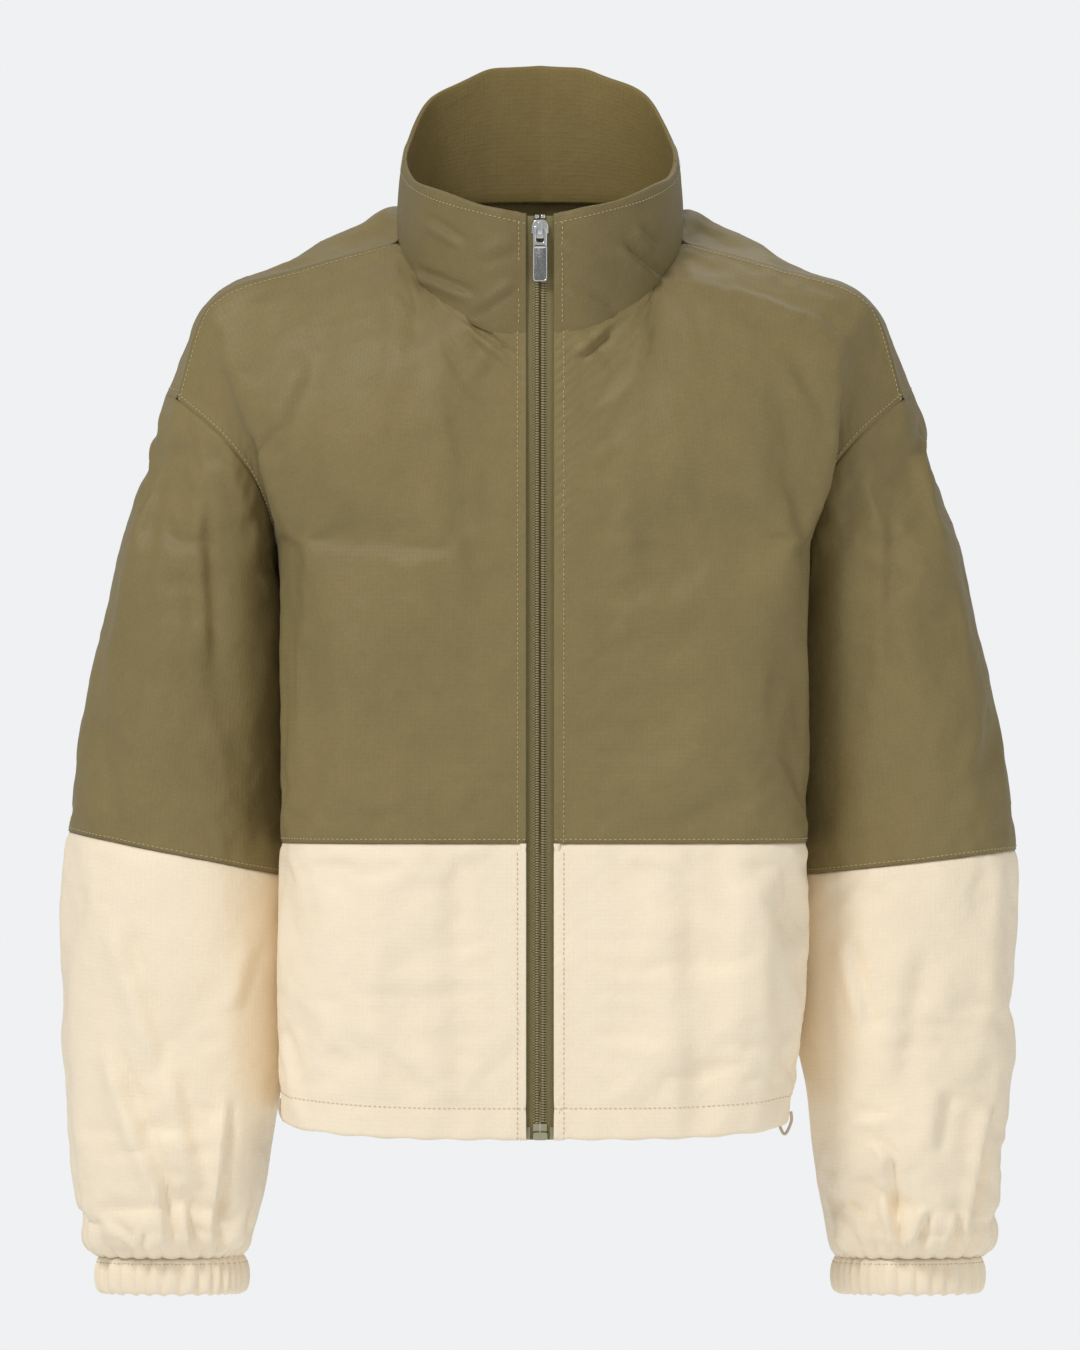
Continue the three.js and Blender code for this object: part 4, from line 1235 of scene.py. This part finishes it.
def block(name, lo, hi, radius, mat, segments=3):
    """A block with rounded edges, from its lowest to its highest corner."""
    bm = bmesh.new()
    lo, hi = Vector(lo), Vector(hi)
    size = Matrix.Diagonal(tuple(hi - lo) + (1,))
    bmesh.ops.create_cube(bm, size=1, matrix=Matrix.Translation((lo + hi) / 2) @ size)
    bmesh.ops.bevel(bm, geom=bm.edges[:], offset=radius, offset_type="OFFSET", segments=segments,
                    profile=0.5, affect="EDGES", material=-1, clamp_overlap=True)
    return closed(name, bm, mat)


def coil_teeth(name, side):
    """One side of the coil: a small rounded bar for each turn, reaching just past the middle."""
    pitch = 1.62 * MM
    top = high(f"{name}_zip_coil").z - (0 if side > 0 else pitch / 2)
    count = int((top - low(f"{name}_zip_coil").z) / pitch)
    y = (low(f"{name}_zip_coil").y + high(f"{name}_zip_coil").y) / 2
    bm = bmesh.new()
    for k in range(count):
        place = Vector((side * 1.9 * MM, y - 0.35 * MM, top - (k + 0.5) * pitch))
        slant = Matrix.Rotation(side * 0.1, 4, "Y")
        size = Matrix.Diagonal((1.76 * MM, 1.15 * MM, 0.68 * MM, 1))
        bmesh.ops.create_uvsphere(bm, u_segments=6, v_segments=5, radius=1,
                                  matrix=Matrix.Translation(place) @ slant @ size)
    obj = finished(f"{name}_coil_teeth", bm)
    dressed(obj, COIL)
    return obj


def straight_stitches(name, x, y, top, bottom, pitch, mat, thick=0.22 * MM):
    bm = bmesh.new()
    for k in range(int((top - bottom) / pitch)):
        size = Matrix.Diagonal((thick, thick * 0.8, pitch * 0.4, 1))
        bmesh.ops.create_icosphere(bm, subdivisions=1, radius=1, matrix=Matrix.Translation(
            (x, y, top - (k + 0.5) * pitch)) @ size)
    obj = finished(name, bm)
    dressed(obj, mat)
    return obj


# ---------------------------------------------------------------- assembly: body
for side, name in HANDS:
    piece = fronts[side]
    upper, lower = piece["upper"], piece["lower"]
    declare(upper, (f"{name}_front_upper_centre", f"{name}_front_upper_side"),
            spare=SPARE)
    declare(lower, (f"{name}_front_lower_centre", f"{name}_front_lower_side",
                                   f"{name}_hem_facing_front", f"{name}_hem_facing_side"),
            spare=SPARE)
    rows, seam, t = piece["rows"], piece["seam"], piece["turned"]
    placket = 14.2 * MM if side < 0 else 15 * MM

    def at_x(row_list, x=placket, side=side):
        line = []
        for r in row_list:
            xs = np.abs(r[2:, 0])
            line.append([np.interp(x, xs[:20], r[2:22, k]) for k in range(3)])
        return np.array(line)

    hem_line = rows[piece["hem"] + round(HEM_DEPTH / CELL)][t:]
    cream = sewn(f"{name}_front_lower_stitches",
                 [at_x(rows[piece["hem"]:seam]), hem_line], lower, CREAM_THREAD)
    above_seam = rows[seam][t:] + np.array([0, 0, OLIVE_LINE])
    inset_armhole = rows[seam + 20:, -1] * 0.42 + rows[seam + 20:, -2] * 0.58
    below_shoulder = rows[-2][t:] * 0.55 + rows[-1][t:] * 0.45
    shoulder = below_shoulder[np.abs(below_shoulder[:, 0]) > 92 * MM]
    olive = sewn(f"{name}_front_upper_stitches",
                 [at_x(rows[seam:]), above_seam, inset_armhole, shoulder], upper, OLIVE_THREAD)
    for obj, slot in ((cream, "cream_cloth"), (olive, "olive_cloth")):
        opens(obj, side, name)
    for obj in (upper, lower):
        thickened(obj)
        opens(obj, side, name)

rows = backs["rows"]
declare(back_upper, ("back_upper",), spare=SPARE)
declare(back_lower, ("back_lower", "hem_facing_back"), spare=SPARE)
seam = backs["seam"]
arm_left = rows[seam + 20:, -1] * 0.3 + rows[seam + 20:, -2] * 0.7
arm_right = rows[seam + 20:, 0] * 0.3 + rows[seam + 20:, 1] * 0.7
above_seam = rows[seam] + np.array([0, 0, OLIVE_LINE])
back_olive = sewn("back_upper_stitches", [above_seam, arm_left, arm_right], back_upper,
                  OLIVE_THREAD)
back_cream = sewn("back_lower_stitches", [rows[backs["hem"] + round(HEM_DEPTH / CELL)]], back_lower,
                  CREAM_THREAD)
for obj, slot in ((back_olive, "olive_cloth"), (back_cream, "cream_cloth")):
    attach(obj, "torso")
for obj in (back_upper, back_lower):
    thickened(obj)
    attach(obj, "torso")

# ---------------------------------------------------------------- assembly: sleeves and cuffs
for side, name in HANDS:
    piece = sleeves[side]
    upper, lower = piece["upper"], piece["lower"]
    declare(upper, (f"{name}_sleeve_upper",), spare=SPARE)
    declare(lower, (f"{name}_sleeve_lower",), spare=SPARE)
    ring = piece["rows"][piece["seam"]] + np.array([0, 0, OLIVE_LINE])
    olive = sewn(f"{name}_sleeve_stitches", [np.vstack([ring, ring[:1]])], upper, OLIVE_THREAD)
    raises(olive, side, name)
    thickened(upper)
    raises(upper, side, name)
    thickened(lower)
    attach(lower, f"{name}_sleeve")
    cuff = cuff_ring(f"{name}_cuff_cloth", side, CUFF_PROFILE)
    dressed(cuff, CREAM)
    declare(cuff, (f"{name}_cuff_casing",), rectangle=True)
    a = np.linspace(0, 2 * math.pi, 120)
    line = np.stack([(CUFF_X + 47.5 * MM * np.cos(a)) * side, 31.5 * MM * np.sin(a),
                     np.full(120, CUFF_TOP_Z - 3.2 * MM)], axis=1)
    stitches = sewn(f"{name}_cuff_stitches", [line], cuff, CREAM_THREAD, pitch=2.6 * MM)
    placed(stitches, "cream_cloth", f"{name}_sleeve")
    thickened(cuff, 0.4 * MM)
    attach(cuff, f"{name}_sleeve")
    band = cuff_ring(f"{name}_cuff_elastic_band", side,
                     ((-2.0, -4), (-1.9, -9), (-1.9, -14), (-2.1, -18.5)), 96, 0.35)
    dressed(band, ELASTIC)
    declare(band, (f"{name}_cuff_elastic",), rectangle=True)
    thickened(band, 0.6 * MM)
    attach(band, f"{name}_sleeve")

# ---------------------------------------------------------------- assembly: collar and inside
for side, name in HANDS + ((0, "collar_back"),):
    label = f"{name}_collar_front" if side else name
    outside = collar_sheet(f"{label}_cloth", False, side)
    lining = collar_sheet(f"{label}_lining_cloth", True, side)
    declare(outside, (label,))
    declare(lining, (f"{label}_facing",))
    shares = np.linspace(0 if side else COLLAR_SPLIT, COLLAR_SPLIT if side else 1, 60)
    edge = np.array([COLLAR_RIM(s) for s in shares])
    below = np.array([COLLAR_BASE(s) for s in shares])
    drop = (below - edge) / np.linalg.norm(below - edge, axis=1, keepdims=True) * 6 * MM
    lines = [mirrored(edge + drop, side or 1)]
    if side:
        up = np.linspace(0.06, 0.93, 30)
        x = (14.2 if side < 0 else 15) * MM
        share = (x - OPENING_X) / 172e-3
        lines.append(np.array([mirrored(COLLAR_BASE(share) * (1 - t) + COLLAR_RIM(share) * t, side)
                               for t in up]))
    else:
        lines.append(mirrored(edge + drop, -1))
    thread = sewn(f"{label}_stitches", lines, outside, OLIVE_THREAD)
    thickened(outside, 0.5 * MM)
    thickened(lining, 0.5 * MM)
    for obj in (outside, lining, thread):
        if side:
            opens(obj, side, name)
        else:
            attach(obj, "torso")

for side, name in HANDS:
    box_low, box_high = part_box(f"{name}_front_facing")
    xs = np.linspace(box_low.x, box_high.x, 7)
    rows = []
    for z in np.linspace(box_low.z, box_high.z, 101):
        y = (box_low.y + box_high.y) / 2 + 0.2 * MM * np.sin(z / (9 * MM) + xs / (3 * MM))
        rows.append(np.stack([xs, y, np.full(7, z)], axis=1))
    strip = cloth_grid(f"{name}_front_facing_cloth", np.array(rows), (0, -0.2, -0.3))
    dressed(strip, OLIVE_LINING_WITH_PAINTED_SHADE)
    declare(strip, (f"{name}_front_facing",), rectangle=True)
    thickened(strip)
    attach(strip, f"{name}_front")
    rows = []
    for t in np.linspace(0, 1, 33):
        z = (low(f"{name}_pocket_bag").z * (1 - t) + high(f"{name}_pocket_bag").z * t)
        s = np.linspace(0, 1, 13)
        belly = np.sin(math.pi * s) * math.sin(math.pi * t)
        rows.append(np.stack([side * (98 + 52 * s) * MM, (-93.5 + 16 * s * s + 1.6 * belly) * MM,
                              np.full(13, z)], axis=1))
    bag = cloth_grid(f"{name}_pocket_cloth", np.array(rows), (0, 0.3, -0.37))
    subdivided(bag)
    dressed(bag, OLIVE_LINING_WITH_PAINTED_SHADE)
    declare(bag, (f"{name}_pocket_bag",), rectangle=True)
    thickened(bag, 0.8 * MM)
    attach(bag, "torso")


def tube(name, points, radius, mat):
    """A round cord through the points."""
    curve = bpy.data.curves.new(name, "CURVE")
    curve.dimensions = "3D"
    curve.bevel_depth, curve.bevel_resolution, curve.use_fill_caps = radius, 3, True
    run = curve.splines.new("POLY")
    run.points.add(len(points) - 1)
    for point, place in zip(run.points, points):
        point.co = (*place, 1)
    source = linked(name + "_path", curve)
    mesh = bpy.data.meshes.new_from_object(source.evaluated_get(
        bpy.context.evaluated_depsgraph_get()))
    bpy.data.objects.remove(source)
    for face in mesh.polygons:
        face.use_smooth = True
    obj = linked(name, mesh)
    dressed(obj, mat)
    return obj


for side, name in HANDS:
    lo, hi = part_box(f"{name}_hem_loop")
    shift, tuck = (5 * MM, 0.6 * MM) if side > 0 else (0, 9 * MM)
    middle = (lo.x + hi.x) / 2 - shift
    half, y = (hi.x - lo.x) / 2 - 1.1 * MM, (lo.y + hi.y) / 2
    route = spline([(middle - half, y, hi.z + tuck), (middle - half * 1.1, y, hi.z + tuck - 7 * MM),
                    (middle - half * 0.2, y, lo.z + tuck + 1.2 * MM),
                    (middle + half * 0.9, y, hi.z + tuck - 6 * MM),
                    (middle + half * 0.8, y, hi.z + tuck)], 1)
    loop = tube(f"{name}_hem_loop_cord", dense(route, 24), 1.0 * MM, CORD)
    placed(loop, "cord", "torso", f"{name}_hem_loop")

# ---------------------------------------------------------------- assembly: zip
for side, name in HANDS:
    teeth = coil_teeth(name, side)
    placed(teeth, "zip_coil", f"{name}_front", f"{name}_zip_coil")
    top = high(f"{name}_zip_coil").z
    sewing = straight_stitches(f"{name}_coil_stitches", side * 3.75 * MM, TAPE_Y - 0.25 * MM, top,
                               low(f"{name}_zip_coil").z, 1.62 * MM, OLIVE_THREAD, 0.3 * MM)
    placed(sewing, "zip_tape", f"{name}_front")
    stop = block(f"{name}_top_stop", low(f"{name}_zip_top_stop"), high(f"{name}_zip_top_stop"),
                 0.5 * MM, POLISHED)
    placed(stop, "metal", f"{name}_front", f"{name}_zip_top_stop")
    film = block(f"{name}_clear_film", low(f"{name}_tape_film"), high(f"{name}_tape_film"),
                 0.12 * MM, CLEAR, 2)
    placed(film, "clear_plastic", f"{name}_front", f"{name}_tape_film")
    profile = ((0.14, -110.9), (1.6, -110.85), (3.2, -110.9), (3.8, -111.7), (4.6, -111.95),
               (7, -112.0), (9.5, -111.9), (16, -111.85))
    rows = []
    for z in np.linspace(low(f"{name}_zip_tape").z, high(f"{name}_zip_tape").z, 140):
        rows.append([(side * x * MM, y * MM, z) for x, y in profile])
    tape = cloth_grid(f"{name}_tape_cloth", np.array(rows), (0, 0.1, -0.3))
    dressed(tape, TAPE)
    declare(tape, (f"{name}_zip_tape",), rectangle=True)
    thickened(tape, 0.35 * MM)
    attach(tape, f"{name}_front")

for label, body, side in (("zip_insertion_pin", "right_front", -1),
                          ("zip_retainer_pin", "left_front", 1)):
    lo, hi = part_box(label)
    xs = sorted((side * 0.14 * MM, side * 4.55 * MM))
    pin = block(f"{label}_moulded", (xs[0], lo.y, lo.z), (xs[1], hi.y, hi.z + 0.5 * MM),
                0.6 * MM, PIN)
    placed(pin, "clear_plastic", body, label)
lo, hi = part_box("zip_retainer_box")
bm = bmesh.new()
middle, half = 0.2 * MM, 4.6 * MM
outline = [(x + middle, z) for x, z in rounded(half, hi.z, lo.z, 5, 32)]
solid_plate(bm, outline, lo.y, hi.y, 0.7 * MM, 4)
retainer = closed("zip_retainer_box_moulded", bm, PIN)
placed(retainer, "clear_plastic", "left_front", "zip_retainer_box")

lo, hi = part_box("zip_slider")
bm = bmesh.new()
shield = []
for k in range(40):
    a = 2 * math.pi * k / 40
    c, s = math.cos(a), math.sin(a)
    narrow = 1 - 0.16 * smoothstep(0.1, -1.0, s)
    shield.append((math.copysign(abs(c) ** 0.62, c) * hi.x * narrow,
                   math.copysign(abs(s) ** 0.8, s) * (hi.z - lo.z) / 2 + (hi.z + lo.z) / 2))
solid_plate(bm, shield, lo.y, lo.y + 1.3 * MM, 0.45 * MM, 3)
front_plate = closed("zip_slider_front_plate", bm, POLISHED)
bm = bmesh.new()
solid_plate(bm, shield, hi.y - 1.3 * MM, hi.y, 0.45 * MM, 3)
back_plate = closed("zip_slider_back_plate", bm, POLISHED)
post = block("zip_slider_post", (-0.12 * MM, lo.y + 1.1 * MM, hi.z - 9 * MM),
             (0.12 * MM, hi.y - 1.1 * MM, hi.z - 0.6 * MM), 0.05 * MM, POLISHED)
for side, name in HANDS:
    xs = sorted((side * (hi.x - 0.75 * MM), side * hi.x))
    for part, y0, y1 in (("front", lo.y + 0.6 * MM, TAPE_Y - 0.45 * MM),
                         ("back", TAPE_BACK_Y + 0.45 * MM, hi.y - 0.6 * MM)):
        flange = block(f"zip_slider_{name}_{part}_flange", (xs[0], y0, lo.z + 3.4 * MM),
                       (xs[1], y1, hi.z - 3.4 * MM), 0.2 * MM, POLISHED, 2)
        placed(flange, "metal", "slider")
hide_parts("zip_slider")
for obj in (front_plate, back_plate, post):
    placed(obj, "metal", "slider")

lo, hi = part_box("zip_bail")
bm = bmesh.new()
r = 1.2 * MM
outer = [(hi.y, hi.z), (lo.y + r, hi.z), (lo.y + 0.3 * r, hi.z - 0.3 * r), (lo.y, hi.z - r),
         (lo.y, lo.z + r), (lo.y + 0.3 * r, lo.z + 0.3 * r), (lo.y + r, lo.z), (hi.y, lo.z)]
w = 0.9 * MM
inner = [(hi.y, lo.z + w), (lo.y + r, lo.z + w), (lo.y + w, lo.z + r + 0.2 * MM),
         (lo.y + w, hi.z - r - 0.2 * MM), (lo.y + r, hi.z - w), (hi.y, hi.z - w)]
solid_plate(bm, outer + inner, lo.x, hi.x, 0.28 * MM, 3)
bmesh.ops.rotate(bm, verts=bm.verts, cent=(0, 0, 0), matrix=Matrix.Rotation(math.pi / 2, 3, "Z"))
bmesh.ops.scale(bm, verts=bm.verts, vec=(-1, 1, 1))
bail = closed("zip_bail_arch", bm, POLISHED)
placed(bail, "metal", "slider", "zip_bail")

lo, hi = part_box("zip_puller")
neck = hi.z - 13.2 * MM
bm = bmesh.new()
framed_plate(bm, rounded(hi.x, hi.z, neck - 1.2 * MM, 5), rounded(2.5 * MM, hi.z - 1.8 * MM,
                                                                 hi.z - 10.4 * MM, 5),
             lo.y, hi.y, 0.5 * MM)
framed_plate(bm, rounded(hi.x, neck + 1.2 * MM, lo.z, 9), rounded(hi.x - 0.8 * MM, neck,
                                                                lo.z + 0.8 * MM, 9),
             lo.y, hi.y, 0.3 * MM)
frame_piece = closed("zip_puller_frame", bm, POLISHED)
placed(frame_piece, "metal", "puller", "zip_puller")
bm = bmesh.new()
solid_plate(bm, rounded(hi.x - 0.6 * MM, neck + 0.3 * MM, lo.z + 0.6 * MM, 9), lo.y + 0.3 * MM,
            hi.y - 0.3 * MM, 0.1 * MM, 1)
panel = closed("zip_puller_panel", bm, HAMMERED)
placed(panel, "metal", "puller")

# ---------------------------------------------------------------- CAD pieces that stay as they are
dressed(bpy.data.objects["hem_drawcord"], CORD)
